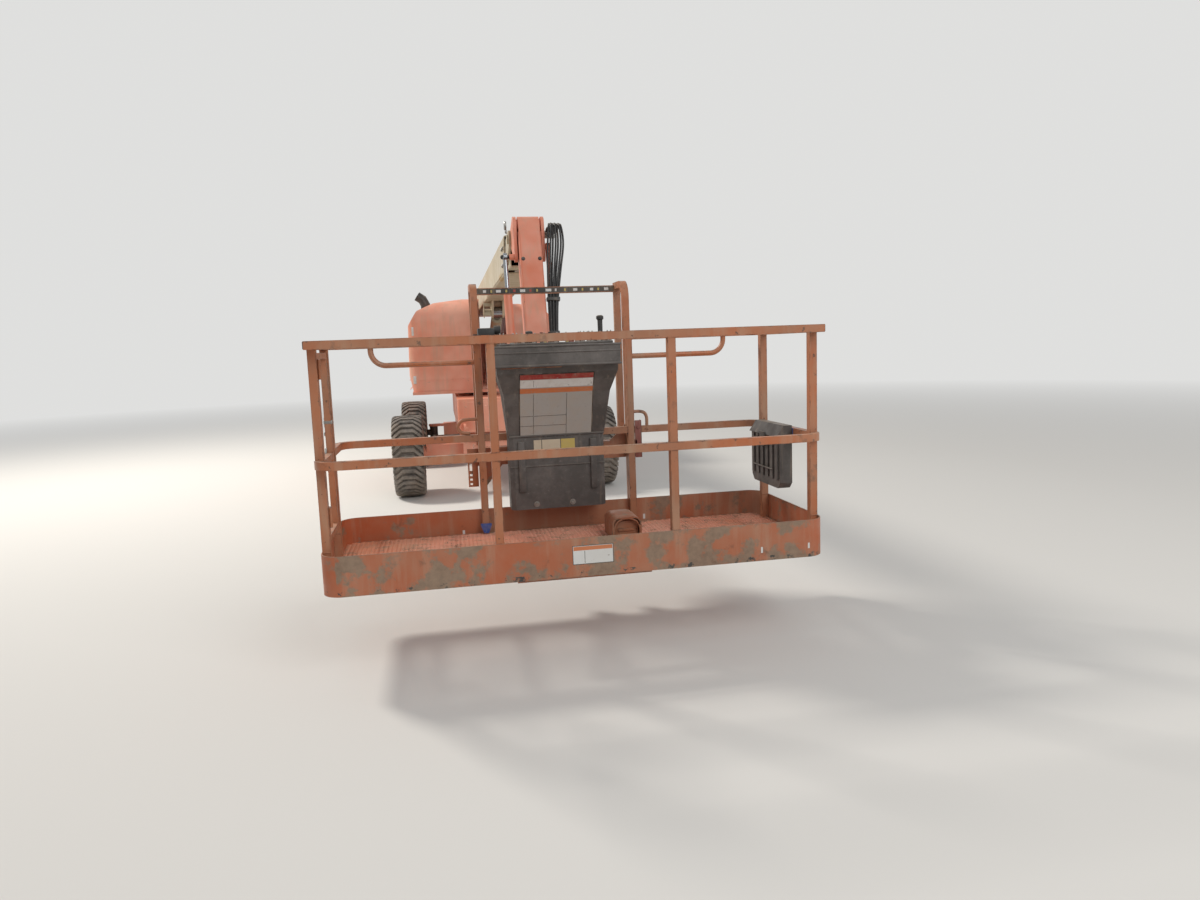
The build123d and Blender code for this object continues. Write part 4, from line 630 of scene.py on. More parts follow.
def grating():
    """Expanded-metal floor on cross channels, with a border strip."""
    low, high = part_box("platform_floor")
    half_wide, half_deep, twist = 0.0016, 0.003, 0.0012
    middle = high.z - 0.0035
    form = Form()
    for strand in range(int((high.y - low.y - 0.012) / (MESH_SHORT / 2))):
        base = low.y + 0.008 + (strand + 0.5) * MESH_SHORT / 2
        reach = int((floor_reach(base, low, high) - 0.003) / (MESH_LONG / 2))
        rings = []
        for step in range(-reach, reach + 1):
            swing = (-1) ** (step + strand)
            x, y, z = step * MESH_LONG / 2, base + MESH_SHORT / 4 * swing, middle + twist * swing
            rings.append(form.ring(((x, y - half_wide, z - half_deep), (x, y + half_wide, z - half_deep),
                                    (x, y + half_wide, z + half_deep), (x, y - half_wide, z + half_deep))))
        form.skin(rings)
    form.piece("floor_grating", "grating_paint", "platform", ("platform_floor",), 0.3)
    form = Form()
    sheet, channel, top = 0.0025, 0.020, high.z - 0.008
    pitch = (high.x - low.x) / CROSS_MEMBERS
    for index in range(CROSS_MEMBERS):
        x = low.x + pitch * (index + 0.5)
        for web in (x - channel, x + channel):
            form.box((web - sheet, low.y, low.z), (web + sheet, high.y, top))
        form.box((x - channel, low.y, top - 0.005), (x + channel, high.y, top))
    strip, foot = 0.004, high.z - 0.034
    for y in (low.y + strip, high.y - strip):
        form.box((low.x + FLOOR_CORNER, y - strip, foot), (high.x - FLOOR_CORNER, y + strip, high.z))
    for x in (low.x + strip, high.x - strip):
        form.box((x - strip, low.y + FLOOR_CORNER, foot), (x + strip, high.y - FLOOR_CORNER, high.z))
    form.piece("floor_frame", "platform_paint", "platform")


def lanyard_loops():
    """Bent bar loops beside the bay posts that a harness is clipped to."""
    y = REAR_Y - 0.024
    left = [(-0.440, 1.103), (-0.500, 1.103), (-0.537, 1.095), (-0.557, 1.066), (-0.546, 1.038),
            (-0.520, 1.027), (-0.490, 1.026)]
    right = [(0.440, 1.100), (0.485, 1.100), (0.514, 1.090), (0.527, 1.062), (0.527, 1.010)]
    form = Form()
    for route in (left, right):
        form.tube(bend([(x, y, z) for x, z in route]), 0.0095, 14)
    form.piece("lanyard_loops", "rail_paint", "platform")


def bay_fittings():
    """Slotted strip, blue foot cap and dark red bracket beside the posts of the console bay."""
    front, rear, low, high = REAR_Y + 0.032, REAR_Y + 0.038, 0.712, 0.930
    form = Form()
    form.box((-0.512, front, low), (-0.503, rear, high), 0.001)
    form.box((-0.489, front, low), (-0.455, rear, high), 0.001)
    for foot, top in ((low, 0.722), (0.734, 0.748), (0.760, 0.774), (0.786, 0.804), (0.846, high)):
        form.box((-0.504, front, foot), (-0.488, rear, top))
    for z in (0.900, 0.860):
        form.bolt((-0.472, front, z), FRONT)
    form.piece("strip_plate", "rail_paint", "platform")
    front, rear, low, high = REAR_Y - 0.049, REAR_Y - 0.043, 0.835, 1.051
    form = Form()
    form.box((0.4495, front, low), (0.489, rear, high), 0.0015)
    form.box((0.484, front, low), (0.489, REAR_Y - 0.012, high), 0.0015)
    form.box((0.4495, front, 0.880), (0.462, REAR_Y - 0.034, 0.940), 0.002)
    for z in (0.870, 1.010):
        form.bolt((0.468, front, z), FRONT, 0.016, 0.008)
    form.piece("bay_bracket", "dark_red", "platform")
    form = Form()
    levels = ((0.456, 0.012), (0.464, 0.016), (0.498, 0.029), (0.506, 0.031), (0.510, 0.029))
    corners = ((-1, -1), (1, -1), (1, 1), (-1, 1))
    form.skin([form.ring((-BAY_X + across * reach, REAR_Y - 0.050 + deep * reach * 0.35, z)
                         for across, deep in corners) for z, reach in levels])
    form.piece("post_cap", "blue_paint", "platform")


def gate_fittings():
    """Latch and pull ring of the gate, and the keeper plates on the post that it closes against."""
    low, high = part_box("gate")
    x = low.x - 0.003
    form = Form()
    form.box((x - 0.001, high.y - 0.030, 1.150), (high.x - 0.012, high.y + 0.008, 1.168), 0.002)
    form.tube(bend([(x + 0.002, high.y - 0.030, 1.030), (x, high.y - 0.038, 1.000),
                    (x, high.y - 0.030, 0.965), (x + 0.002, high.y - 0.018, 0.945)]), 0.005)
    form.bolt((x + 0.003, high.y - 0.015, 1.100), LEFT, 0.018, 0.007)
    form.piece("gate_latch", "bare_steel", "gate")
    form = Form()
    post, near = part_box("left_rails")[0].x, high.y + 0.013
    for foot, top, wide in ((1.120, 1.190, 0.027), (0.930, 1.030, 0.023)):
        form.box((post - 0.002, near, foot), (post + 0.006, near + wide, top), 0.002)
    for z in (1.138, 1.172, 0.950, 1.010):
        form.bolt((post - 0.001, near + 0.013, z), LEFT, 0.013, 0.0035)
    form.piece("gate_keeper", "rail_paint", "platform")


def rail_joints():
    """Weld beads where the posts meet the rails, and the end caps of the tubes."""
    half, under = TUBE / 2, RAIL_TOP - TUBE
    form = Form()
    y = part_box("front_rails")[0].y + RAIL_INSET
    for x in FRONT_POSTS:
        for z in (under, MID_TOP, MID_TOP - TUBE, TOE_TOP):
            for edge in (x - half, x + half):
                form.weld((edge, y, z), (edge, y + TUBE, z))
            form.weld((x - half, y, z), (x + half, y, z))
    for side, rear_post in ((-1, PLATFORM_FRONT + 0.525), (1, REAR_Y - 0.145)):
        x = side * (BASKET_HALF - half - RAIL_INSET)
        for post in (PLATFORM_FRONT + 0.115, rear_post):
            for z in (under, TOE_TOP):
                for edge in (post - half, post + half):
                    form.weld((x - half, edge, z), (x + half, edge, z))
    for side in (-1, 1):
        x = side * BAY_X
        for z in (under, MID_TOP, MID_TOP - TUBE):
            form.weld((x + side * half, REAR_Y - 0.043, z), (x + side * half, REAR_Y - RAIL_INSET, z))
        form.weld((x - half, REAR_Y - 0.002, RAIL_TOP), (x + half, REAR_Y - 0.002, RAIL_TOP))
    form.piece("rail_welds", "rail_paint", "platform")
    form = Form()
    reach = half - 0.003
    for side in (-1, 1):
        x = side * (BASKET_HALF - 0.0045)
        for y in (PLATFORM_FRONT + half + RAIL_INSET, REAR_Y - half - RAIL_INSET):
            form.box((x - 0.003, y - reach, under + 0.003), (x + 0.003, y + reach, RAIL_TOP - 0.003), 0.0015)
    form.piece("rail_caps", "dark_plastic", "platform")


def on_console(x, z, lift):
    """A point on the console's sloping front at a height, a little proud of it."""
    for (high_z, high_depth), (low_z, low_depth) in zip(CONSOLE_FRONT, CONSOLE_FRONT[1:]):
        if z >= low_z:
            share = (high_z - z) / (high_z - low_z)
            return Vector((x, CONSOLE_BACK - (high_depth + (low_depth - high_depth) * share) - lift, z))
    raise ValueError("below the console")


def draped(name, finish, x0, x1, levels, lift):
    """A thin sheet down the console's front, bent where the front bends."""
    form = Form()
    back = lift - SHEET_THICKNESS
    form.skin([form.ring((on_console(x0, z, lift), on_console(x1, z, lift), on_console(x1, z, back),
                          on_console(x0, z, back))) for z in levels])
    form.piece(name, finish, "platform", smooth=0.2)


def placard():
    """Blank placard on the console: a red head, an orange band, pale panels, lines and three cells."""
    left, right, border = PLACARD_LEFT, PLACARD_RIGHT, 0.006
    on_sheet, line_lift, line = 0.0034, 0.0036, 0.0008
    panels = (("head", "label_red", 1.346, 1.320), ("first", "label_white", 1.318, 1.276),
              ("band", "label_orange", 1.272, 1.246))
    lines = ((0, 1.1195, 0.252, 1.1195), (0, 1.065, 0.252, 1.065), (0.072, 1.314, 0.072, 1.280),
             (0.072, 1.240, 0.072, 1.010), (0.252, 1.240, 0.252, 1.010))
    cells = ((-0.155, -0.113, "label_sand"), (-0.109, -0.008, "label_sand"), (-0.004, 0.073, "label_yellow"))
    rim, sheet = (1.352, 1.245, 1.010, 1.000), (1.346, 1.245, 1.010, 1.006)
    draped("placard_border", "black_paint", left - border, right + border, rim, 0.0015)
    draped("placard_sheet", "label_grey", left, right, sheet, 0.0026)
    for name, finish, *levels in panels:
        draped(f"placard_{name}", finish, left, right, levels, on_sheet)
    form = Form()
    for x0, z0, x1, z1 in lines:
        form.tube([on_console(left + x0, z0, line_lift), on_console(left + x1, z1, line_lift)], line, 6)
    form.piece("placard_lines", "black_paint", "platform")
    for index, (x0, x1, finish) in enumerate(cells):
        draped(f"cell_{index}", finish, x0, x1, (0.984, 0.926), 0.0022)


def console_lid():
    """Beads round the console's lid, the raised control panel, ribs, foot bolts and a scraped edge."""
    half, back, front = LID_HALF, CONSOLE_BACK, CONSOLE_BACK - LID_DEPTH
    bowed = front - LID_BOW * 0.75
    outline = [(-half, back), (-half, front), (-half / 2, bowed), (0, front - LID_BOW), (half / 2, bowed),
               (half, front), (half, back)]
    form = Form()
    for z, radius in ((1.394, 0.007), (1.462, 0.005), (1.4945, 0.006)):
        form.tube([(CONSOLE_X + x, y, z) for x, y in outline], radius)
    form.box((CONSOLE_X - 0.300, front + 0.010, 1.499), (CONSOLE_X + 0.300, back - 0.020, PANEL_TOP), 0.006)
    for x in (CONSOLE_X - 0.20, CONSOLE_X + 0.20):
        form.box((x - 0.018, back - 0.165, 0.700), (x + 0.018, back - 0.145, 0.980), 0.006)
    for z, lift, radius in ((1.008, 0.002, 0.006), (0.840, 0.001, 0.004)):
        form.tube([on_console(CONSOLE_X + x, z, lift) for x in (-0.262, 0.262)], radius)
    form.piece("console_beads", "dark_plastic", "platform")
    form = Form()
    for x in (-0.152, 0.049):
        place = on_console(x, 0.628, 0.0)
        form.turned([(0, 0.016), (0.003, 0.016)], place, FRONT, 20)
        form.bolt(place + Vector((0, -0.002, 0)), FRONT, 0.019, 0.010)
    form.piece("console_bolts", "bare_steel", "platform")
    form = Form()
    form.tube([on_console(CONSOLE_X + x, 1.384, 0.004) for x in (-0.30, -0.18, 0.02)], 0.0025, 8)
    form.piece("console_scrape", "rail_paint", "platform")


def controls():
    """Levers, guards, switches and the stop button on the console's top."""
    top, front = PANEL_TOP, CONSOLE_BACK - 0.300
    bellows = [(0, 0.040), (0.006, 0.040), (0.012, 0.034), (0.018, 0.036), (0.024, 0.029), (0.030, 0.031),
               (0.036, 0.023), (0.042, 0.024), (0.048, 0.015)]
    black, silver = Form(), Form()
    for x, y, height in ((0.236, -3.470, 0.112), (-0.150, -3.430, 0.040)):
        grip = [(0.04, 0.013), (height, 0.014), (height + 0.006, 0.020), (height + 0.020, 0.020),
                (height + 0.026, 0.012)]
        black.turned(bellows, (x, y, top), UP, 28)
        black.turned(grip, (x, y, top), UP, 20)
    black.box((-0.425, -3.425, 1.548), (-0.335, -3.335, 1.602), 0.008)
    black.turned([(0, 0.024), (0.030, 0.026), (0.036, 0.020)], (-0.337, -3.380, 1.590), (1, 0, 0), 22)
    black.box((-0.448, -3.345, 1.556), (-0.405, -3.288, 1.572), 0.003)
    for index in range(9):
        x = CONSOLE_X - 0.235 + index * 0.058
        y = front + 0.012 - 0.010 * (1 - ((index - 4) / 4) ** 2)
        lean = (0.1 * (-1) ** index, -0.15, 1)
        silver.turned([(0, 0.010), (0.004, 0.010), (0.005, 0.007), (0.010, 0.0065)], (x, y, top), UP, 12)
        silver.turned([(0.008, 0.0032), (0.046, 0.0050), (0.052, 0.0035)], (x, y, top), lean, 10)
    arch = ((-0.014, 0), (-0.014, 0.040), (0, 0.054), (0.014, 0.040), (0.014, 0))
    for x, y in ((0.130, -3.500), (0.176, -3.500), (0.278, -3.500), (-0.305, -3.520), (-0.235, -3.520)):
        for side in (x - 0.009, x + 0.009):
            silver.tube(bend([(side, y + along, top + rise) for along, rise in arch], 5), 0.0026, 8)
        silver.turned([(0, 0.003), (0.030, 0.0045), (0.034, 0.003)], (x, y, top), (0, -0.2, 1), 10)
    switch = [(0, 0.009), (0.010, 0.009), (0.012, 0.006), (0.044, 0.005), (0.050, 0.008), (0.056, 0.008)]
    knob = [(0, 0.017), (0.008, 0.017), (0.010, 0.014), (0.022, 0.013), (0.024, 0.010)]
    for x in (-0.085, -0.040):
        black.turned(switch, (x, -3.440, top), UP, 14)
    for x in (-0.15, -0.02, 0.10):
        black.turned(knob, (x, -3.540, top), UP, 20)
    black.piece("console_levers", "hose_rubber", "platform")
    silver.piece("console_guards", "bare_steel", "platform")
    form = Form()
    button = [(0, 0.016), (0.024, 0.016), (0.026, 0.030), (0.034, 0.032), (0.044, 0.028), (0.049, 0.016)]
    form.turned(button, (0.072, -3.480, top), UP)
    form.piece("stop_button", "label_red", "platform")
    form = Form()
    for x in (CONSOLE_X - 0.061, CONSOLE_X + 0.055):
        form.turned([(0, 0.007), (0.006, 0.007), (0.009, 0.004)], (x, front - 0.002, top), UP, 12)
    form.piece("console_caps", "yellow_paint", "platform")


def label_bar():
    """Blank black strip with small colour marks along the bar of the console bay."""
    bay_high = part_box("console_bay")[1]
    y, base = bay_high.y - TUBE - 0.0012, bay_high.z - 0.053
    form = Form()
    form.box((-0.400, y, base + 0.004), (0.408, y + 0.0012, base + 0.034))
    form.piece("bar_strip", "black_paint", "platform")
    # (start, width) of the marks of each colour
    marks = {
        "yellow_paint": ((-0.322, 0.010), (-0.235, 0.010), (-0.055, 0.010), (0.110, 0.010), (0.215, 0.010),
                         (0.310, 0.010)),
        "label_white": ((-0.365, 0.018), (-0.290, 0.028), (-0.150, 0.030), (0.000, 0.034), (0.055, 0.010),
                        (0.165, 0.024), (0.265, 0.020), (0.350, 0.026)),
        "label_red": ((-0.190, 0.014), (-0.095, 0.012)),
    }
    for finish, spots in marks.items():
        form = Form()
        for x, wide in spots:
            form.box((x, y - 0.0006, base + 0.011), (x + wide, y + 0.0004, base + 0.026))
        form.piece(f"bar_marks_{finish}", finish, "platform")


def floor_fittings():
    """Rim, inner panel and slot of the foot switch, and the document box's straps and latch."""
    low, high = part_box("foot_switch")
    middle, rise = (low.x + high.x) / 2, high.z - low.z
    arch = ((-0.072, 0.004), (-0.072, rise * 0.45), (-0.050, rise * 0.80), (0, rise * 0.93),
            (0.050, rise * 0.80), (0.072, rise * 0.45), (0.072, 0.004))
    form = Form()
    form.tube(bend([(middle + x, low.y + 0.006, low.z + z) for x, z in arch], 5), 0.005)
    # (half width, front, rear, foot, top) of the inner panel and of the slot in it
    for half, front, rear, foot, top in ((0.066, 0.030, 0.036, 0.012, rise * 0.80),
                                         (0.045, 0.022, 0.031, 0.040, 0.054)):
        form.box((middle - half, low.y + front, low.z + foot),
                 (middle + half, low.y + rear, low.z + top), 0.002)
    form.piece("switch_rim", "rail_paint", "platform")
    low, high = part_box("document_box")
    middle = (low.y + high.y) / 2
    form = Form()
    for z, radius in ((high.z - 0.09, 0.006), (low.z + 0.10, 0.004)):
        form.tube([(low.x - 0.001, low.y + 0.06, z), (low.x - 0.001, high.y - 0.06, z)], radius)
    x, top = low.x, high.z
    form.box((x - 0.007, middle - 0.035, top - 0.125), (x + 0.002, middle + 0.035, top - 0.045), 0.004)
    form.box((x - 0.010, middle - 0.012, top - 0.112), (x - 0.004, middle + 0.012, top - 0.078), 0.002)
    form.piece("document_latch", "dark_plastic", "platform")


def on_jib(x, along, lift):
    """A point in front of the jib's face, by its distance down the jib from the upper pin."""
    return Vector((x, 0, 0)) + JIB_TOP + JIB_DOWN * along + JIB_OUT * (JIB_HALF + lift)


def jib_hoses():
    """Hoses that loop out of the boom's nose, run down beside the jib and turn into the rotator."""
    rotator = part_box("platform_support")[1]
    # (place across, its spread over the bundle, distance down the jib, height over its face)
    run = ((0.130, 0.078, 0.03, 0.004), (0.114, 0.104, 0.16, 0.004), (0.102, 0.086, 0.34, -0.004),
           (0.092, 0.060, 0.56, -0.008), (0.088, 0.044, 0.80, -0.010))
    fittings = Form()
    y, z = JIB_TOP.y, JIB_TOP.z
    fittings.box((0.112, y + 0.155, z - 0.062), (0.202, y + 0.195, z - 0.012), 0.004)
    for index in range(HOSE_COUNT):
        spread = index / (HOSE_COUNT - 1)
        ripple = 0.010 * (index % 2)
        start = Vector((HOSE_START_X + HOSE_START_SPREAD * spread, y + 0.17, z - 0.030))
        fittings.turned([(0, 0.0080), (0.018, 0.0080), (0.020, 0.007)], (start.x, y + 0.156, start.z),
                        (0, -1, 0.35), 6)
        rise = 0.024 - 0.030 * spread ** 2
        route = [start, start + Vector((0, -0.07, rise)), start + Vector((0.004, -0.15, rise))]
        route += [on_jib(across + wide * spread, along, lift + ripple) for across, wide, along, lift in run]
        form = Form()
        form.tube(bend(route), HOSE_RADIUS, 12)
        hose = form.piece(f"jib_hose_{index}", "hose_rubber")
        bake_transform(hose)
        last = on_jib(0.088 + 0.044 * spread, 0.785, -0.010 + ripple)
        end = Vector((0.045 + 0.045 * spread, rotator.y - 0.100, rotator.z - 0.025))
        route = [last, last + JIB_DOWN * 0.10, last + JIB_DOWN * 0.24 + JIB_OUT * 0.02,
                 end + Vector((0.03, -0.015, 0.13)), end + Vector((0, -0.005, 0.06)), end]
        form = Form()
        form.tube(bend(route), HOSE_RADIUS, 12)
        hose = form.piece(f"rotator_hose_{index}", "hose_rubber")
        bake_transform(hose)
    fittings.piece("hose_block", "bare_steel", "jib_base")


def jib_details():
    """Clamps, pin head with its keeper, corner welds and bolts of the jib, and the knob on its nose."""
    form = Form()
    for along, left, right in ((0.54, 0.079, 0.168), (0.77, 0.079, 0.148)):
        middle = (on_jib(left, along, -0.020) + on_jib(right, along, 0.012)) / 2
        half = Vector(((right - left) / 2, 0.019, 0.012))
        form.box(middle - half, middle + half, 0.005, Matrix.Rotation(JIB_TILT, 4, "X"))
        form.bolt(on_jib(left + 0.006, along, 0.008), JIB_OUT, 0.013, 0.008)
    form.piece("hose_clamps", "black_paint", "jib")
    form = Form()
    x, y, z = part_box("jib_tube")[0].x + 0.002, JIB_TOP.y, JIB_TOP.z
    form.turned([(0, 0.030), (0.010, 0.030), (0.014, 0.026)], (x, y, z), LEFT, 28)
    form.box((x - 0.004, y - 0.012, z - 0.052), (x + 0.004, y + 0.012, z - 0.026), 0.002)
    form.bolt((x - 0.003, y, z - 0.042), LEFT, 0.014, 0.007)
    form.piece("jib_pins", "bare_steel", "jib_base")
    form = Form()
    for x in (-0.069, 0.069):
        form.weld(on_jib(x, 0.06, -0.002), on_jib(x, 1.08, -0.002))
    form.piece("jib_welds", "faded_orange", "jib")
    form = Form()
    for along in (0.26, 1.04):
        for x in (-0.055, 0.055):
            form.bolt(on_jib(x, along, -0.001), JIB_OUT, 0.020, 0.010)
    form.piece("jib_studs", "black_paint", "jib")
    form = Form()
    form.turned([(0, 0.012), (0.030, 0.016), (0.045, 0.018), (0.060, 0.012), (0.064, 0.004)],
                (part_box("jib_base")[0].x + 0.006, JIB_TOP.y + 0.002, JIB_TOP.z - 0.205), LEFT, 20)
    form.piece("jib_knob", "hose_rubber", "jib_base")


def boom_details():
    """Bolts round the boom's mouth, lug plates, corner welds, pivot pins and the angle sensor."""
    low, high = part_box("base_boom")
    form = Form()
    for way in (-1, 1):
        for y in MOUTH_ROWS:
            for z in (2.10, 2.22):
                form.bolt((way * 0.1255, y, z), (way, 0, 0), 0.024, 0.012)
    for x in (-0.075, 0.075):
        for y in MOUTH_ROWS:
            form.bolt((x, y, high.z - 0.004 - (y + 1.7) * 0.02), UP, 0.024, 0.010)
    form.piece("mouth_bolts", "bare_steel", "base_boom")
    form = Form()
    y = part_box("lift_rod")[0].y + 0.02
    for x0, x1 in ((low.x + 0.004, -0.062), (0.062, high.x - 0.004)):
        for foot, top in ((1.930, 1.968), (1.835, 1.872)):
            form.box((x0, y - 0.012, foot), (x1, y + 0.012, top), 0.004)
    for x in (low.x + 0.002, high.x - 0.010):
        form.box((x, y - 0.016, 1.812), (x + 0.008, y + 0.016, 1.985), 0.002)
    for x in (-BOOM_SIDE, BOOM_SIDE):
        form.weld((x, MOUTH_ROWS[1], 2.0505), (x, 0.60, 2.008))
    form.piece("boom_plates", "cream_paint", "base_boom")
    form = Form()
    head = [(0, 0.052), (0.004, 0.052), (0.0045, 0.038), (0.009, 0.038), (0.011, 0.032)]
    for way in (-1, 1):
        form.turned(head, (way * 0.171, BOOM_PIVOT_Y, BOOM_PIVOT_Z), (way, 0, 0))
        form.bolt((way * 0.174, BOOM_PIVOT_Y + 0.044, BOOM_PIVOT_Z), (way, 0, 0), 0.016, 0.006)
    form.piece("boom_pins", "bare_steel", "turntable")
    form = Form()
    form.box((-0.193, 2.975, 2.105), (-0.136, 3.035, 2.250), 0.006)
    form.box((-0.140, 2.960, 2.120), (-0.122, 3.050, 2.160), 0.002)
    for z in (2.130, 2.225):
        form.bolt((-0.165, 2.976, z), FRONT, 0.010, 0.005)
    form.piece("boom_sensor", "black_paint", "base_boom")


def louvre_panel(form, x, y0, y1, way):
    """A framed opening with sloping slats on a hood's outer side."""
    edge, low, high = 0.012, LOUVRE_LOW, LOUVRE_HIGH
    for a, b in (((y0, low), (y1, low + edge)), ((y0, high - edge), (y1, high)),
                 ((y0, low), (y0 + edge, high)), ((y1 - edge, low), (y1, high))):
        form.box((x - 0.004, *a), (x + 0.004, *b), 0.0015)
    pitch = (high - low - 2 * edge) / LOUVRE_SLATS
    slope = Matrix.Rotation(way * 0.5, 4, "Y")
    half = pitch * 0.42
    for index in range(LOUVRE_SLATS):
        z = low + edge + pitch * (index + 0.5)
        form.box((x - 0.0016, y0 + edge, z - half), (x + 0.0016, y1 - edge, z + half), 0, slope)


def hood_details():
    """Louvres, seams, latches and hinges of the two hoods, and the reflectors of the left one."""
    for name, way in (("hood_left", -1), ("hood_right", 1)):
        low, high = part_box(name)
        outer, inner = (low.x, high.x) if way < 0 else (high.x, low.x)
        face = outer - way * 0.001
        length = high.y - low.y
        form = Form()
        for index in range(3):
            y0 = low.y + length * (0.30 + 0.215 * index)
            louvre_panel(form, face, y0, y0 + length * 0.17, way)
        form.piece(f"{name}_louvres", "black_paint", name)
        form = Form()
        for z in (1.094, 1.189):
            form.tube([(face, low.y + 0.14, z), (face, high.y - 0.14, z)], 0.004, 8)
        form.piece(f"{name}_seams", "faded_orange", name)
        form = Form()
        for share in (0.16, 0.90):
            y = low.y + length * share
            x0, x1 = sorted((face - way * 0.004, face + way * 0.0005))
            form.box((x0, y - 0.030, 1.215), (x1, y + 0.030, 1.285), 0.002)
            x0, x1 = sorted((face - way * 0.002, face))
            form.box((x0, y - 0.010, 1.228), (x1 + 0.0005, y + 0.010, 1.272), 0.0005)
        for share in (0.25, 0.5, 0.75):
            y, top = low.y + length * share, high.z
            pin = inner + way * 0.004
            form.box((inner - 0.030, y - 0.035, top - 0.006), (inner + 0.004, y + 0.035, top + 0.004), 0.002)
            form.tube([(pin, y - 0.04, top + 0.002), (pin, y + 0.04, top + 0.002)], 0.006)
        form.piece(f"{name}_latches", "black_paint", name)
    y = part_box("hood_left")[0].y
    form = Form()
    for x0, x1, foot, top in ((-0.911, -0.880, 1.153, 1.234), (-0.900, -0.877, 1.655, 1.744)):
        form.box((x0, y + 0.010, foot), (x1, y + 0.048, top), 0.003)
    form.piece("hood_reflectors", "reflector", "hood_left")


def deck_fittings():
    """Door, handle and hinges of the ground control box, caps of the tank and engine, and weight bolts."""
    low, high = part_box("ground_control_box")
    foot, top = low.z + 0.04, high.z - 0.04
    form = Form()
    form.box((high.x - 0.006, low.y + 0.02, foot), (high.x + 0.006, high.y - 0.02, top), 0.004)
    form.box((low.x + 0.02, low.y - 0.006, foot), (high.x - 0.02, low.y + 0.006, top), 0.004)
    form.piece("cabinet_door", "dark_plastic", "turntable")
    form = Form()
    handle = ((-0.004, 1.30), (-0.026, 1.305), (-0.026, 1.375), (-0.004, 1.38))
    form.tube(bend([(high.x - 0.10, low.y + y, z) for y, z in handle], 4), 0.005)
    for z in (1.16, 1.46):
        form.box((low.x + 0.014, low.y - 0.012, z - 0.020), (low.x + 0.030, low.y - 0.002, z + 0.020), 0.002)
    low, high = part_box("hydraulic_tank")
    form.turned([(0, 0.045), (0.022, 0.045), (0.026, 0.038), (0.040, 0.036), (0.044, 0.030)],
                ((low.x + high.x) / 2, low.y + 0.14, high.z), UP, 28)
    low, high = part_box("engine_block")
    for index in range(4):
        form.turned([(0, 0.030), (0.035, 0.030), (0.040, 0.022)],
                    ((low.x + high.x) / 2, low.y + 0.25 + index * 0.24, high.z), UP, 16)
    form.piece("deck_fittings", "bare_steel", "turntable")
    form = Form()
    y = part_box("counterweight")[1].y - 0.0045
    for x in (-0.30, 0.30):
        for z in (1.18, 1.50):
            form.turned([(0, 0.034), (0.004, 0.034)], (x, y, z), (0, 1, 0), 24)
    form.piece("weight_bolts", "bare_steel", "turntable")


def chassis_details():
    """Bolts of the swing bearing, the front plate and the axles, and the hoses under the deck."""
    form = Form()
    for turn in around(BEARING_BOLTS):
        place = (BEARING_CIRCLE * cos(turn), SWING_Y + BEARING_CIRCLE * sin(turn), BEARING_TOP)
        form.bolt(place, UP, 0.024, 0.014)
    form.piece("bearing_bolts", "bare_steel", "chassis")
    form = Form()
    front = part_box("chassis_frame")[0].y
    for x in (-0.40, -0.20, 0.20, 0.40):
        for z in (0.72, 0.93):
            form.bolt((x, front + 0.0005, z), FRONT, 0.020, 0.010)
    for z in (0.69, 0.975):
        form.weld((-0.44, front, z), (0.44, front, z), 0.004)
    for name in ("drive_axle", "steer_axle"):
        low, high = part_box(name)
        for x in (-0.20, -0.12, 0.12, 0.20):
            form.bolt((x, low.y + 0.001, (low.z + high.z) / 2 + 0.05), FRONT, 0.022, 0.012)
    form.piece("chassis_bolts", "faded_orange", "chassis")
    form = Form()
    # (share of the place across, distance in front of the swing axis, height)
    run = ((1, 0.12, 1.03), (1.3, 0.22, 0.90), (1.7, 0.5, 0.82), (2.0, 0.95, 0.72), (2.4, 1.10, 0.60),
           (2.8, 1.19555, 0.530))
    for x in (-0.10, -0.05, 0.03, 0.08):
        form.tube(bend([(x * share, SWING_Y - ahead, z) for share, ahead, z in run]), 0.009)
    form.piece("chassis_hoses", "hose_rubber", "chassis")


def camera():
    """The photograph's camera, with its yaw from +Y towards +X, its pitch and its roll."""
    data = bpy.data.cameras.new("camera")
    data.sensor_width = SENSOR_WIDTH
    data.lens = SENSOR_WIDTH * FOCAL_PIXELS / PHOTO_WIDTH
    made = in_scene("camera", data)
    made.matrix_world = Matrix.Translation(CAMERA_PLACE)
    for angle, axis in ((-CAMERA_YAW, "Z"), (90 + CAMERA_PITCH, "X"), (CAMERA_ROLL, "Z")):
        made.matrix_world = made.matrix_world @ Matrix.Rotation(math.radians(angle), 4, axis)
    bpy.context.scene.camera = made


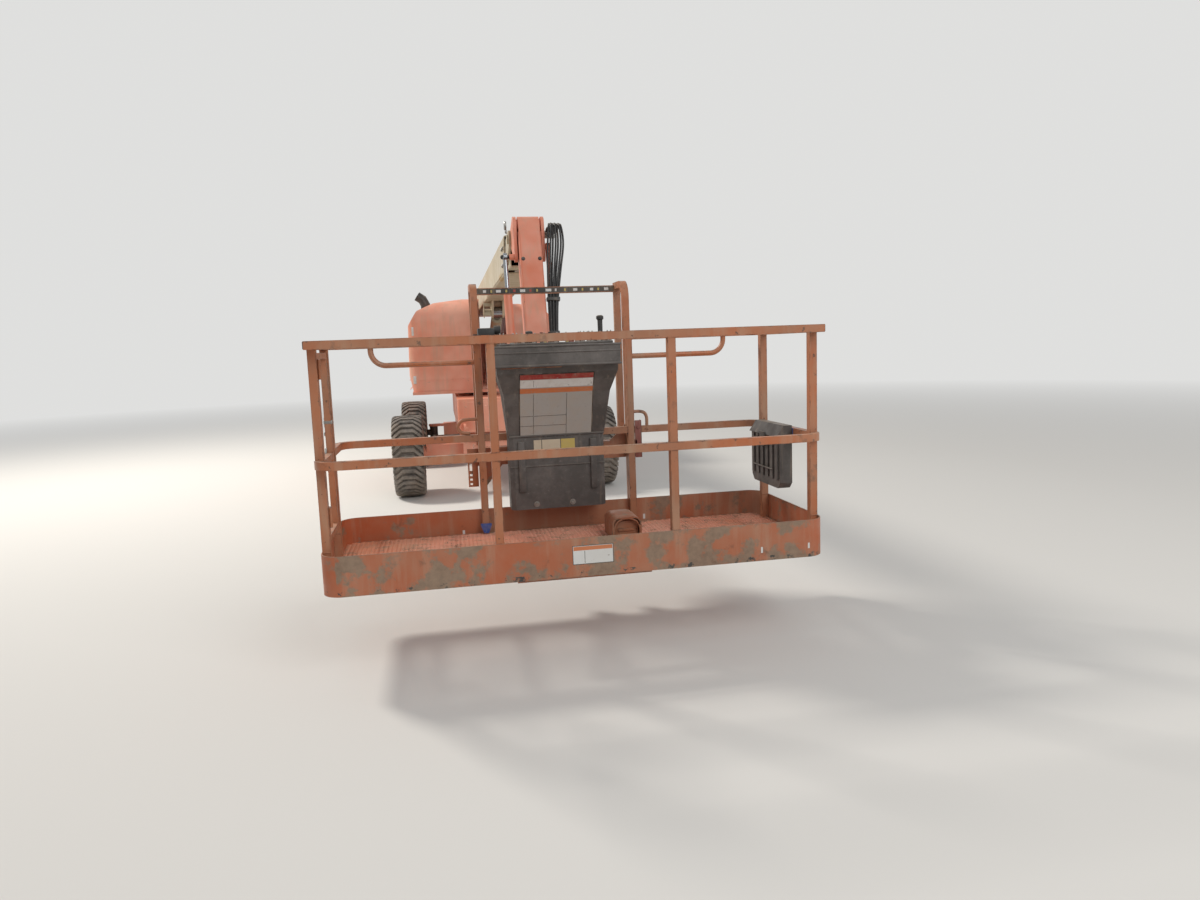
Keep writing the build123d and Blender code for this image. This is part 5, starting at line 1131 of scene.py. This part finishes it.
def area_light(name, place, target, size, power, colour=(1, 1, 1)):
    data = bpy.data.lights.new(name, "AREA")
    data.shape = "DISK"
    data.size = size
    data.energy = power
    data.color = colour
    made = in_scene(name, data)
    made.location = place
    made.rotation_mode = "QUATERNION"
    made.rotation_quaternion = (Vector(target) - Vector(place)).to_track_quat("-Z", "Y")


def pale_world():
    """An even sky that lights softly and looks pale."""
    world = bpy.data.worlds.new("world")
    bpy.context.scene.world = world
    world.use_nodes = True
    sky = Nodes(world.node_tree)
    light = sky.tree.nodes["Background"]
    sky.feed(light.inputs["Color"], SKY_COLOUR)
    sky.feed(light.inputs["Strength"], SKY_LIGHT)
    pale = sky.node("ShaderNodeBackground", {"Color": BACKDROP})
    inputs = {"Fac": sky.seen_directly(), 1: light.outputs["Background"], 2: pale.outputs["Background"]}
    shown = sky.node("ShaderNodeMixShader", inputs)
    sky.feed(sky.tree.nodes["World Output"].inputs["Surface"], shown.outputs["Shader"])


def pale_floor():
    """A wide matt floor that runs into the backdrop's colour far behind the object."""
    bpy.ops.mesh.primitive_plane_add(size=240, location=(0, 0, -0.0015))
    floor = bpy.context.object
    floor.name = "studio_floor"
    s = Surface("studio_floor", 0.9)
    s.colour(FLOOR_COLOUR)
    reach = s.node("ShaderNodeVectorMath", {0: s.place}, operation="LENGTH").outputs["Value"]
    far = s.part(s.ramp(reach, 6.0, 22.0), s.seen_directly())
    glow = s.node("ShaderNodeEmission", {"Color": BACKDROP})
    inputs = {"Fac": far, 1: s.shader.outputs["BSDF"], 2: glow.outputs["Emission"]}
    shown = s.node("ShaderNodeMixShader", inputs)
    s.feed(s.tree.nodes["Material Output"].inputs["Surface"], shown.outputs["Shader"])
    floor.data.materials.append(s.material)


def studio():
    """Pale surroundings and soft lamps, the key behind the object on its left."""
    pale_world()
    pale_floor()
    area_light("key", (-7.0, 4.0, 9.0), (0, 0, 1), 2.0, 1150, KEY_COLOUR)
    area_light("fill", (4.0, -11.0, 7.0), (0, -1, 1), 7.0, 400)
    bpy.context.scene.view_settings.view_transform = "Standard"


for make in (camera, wheels, grating, lanyard_loops, bay_fittings, gate_fittings, rail_joints, placard,
             console_lid, controls, label_bar, floor_fittings, jib_hoses, jib_details, boom_details,
             hood_details, deck_fittings, chassis_details, studio):
    make()
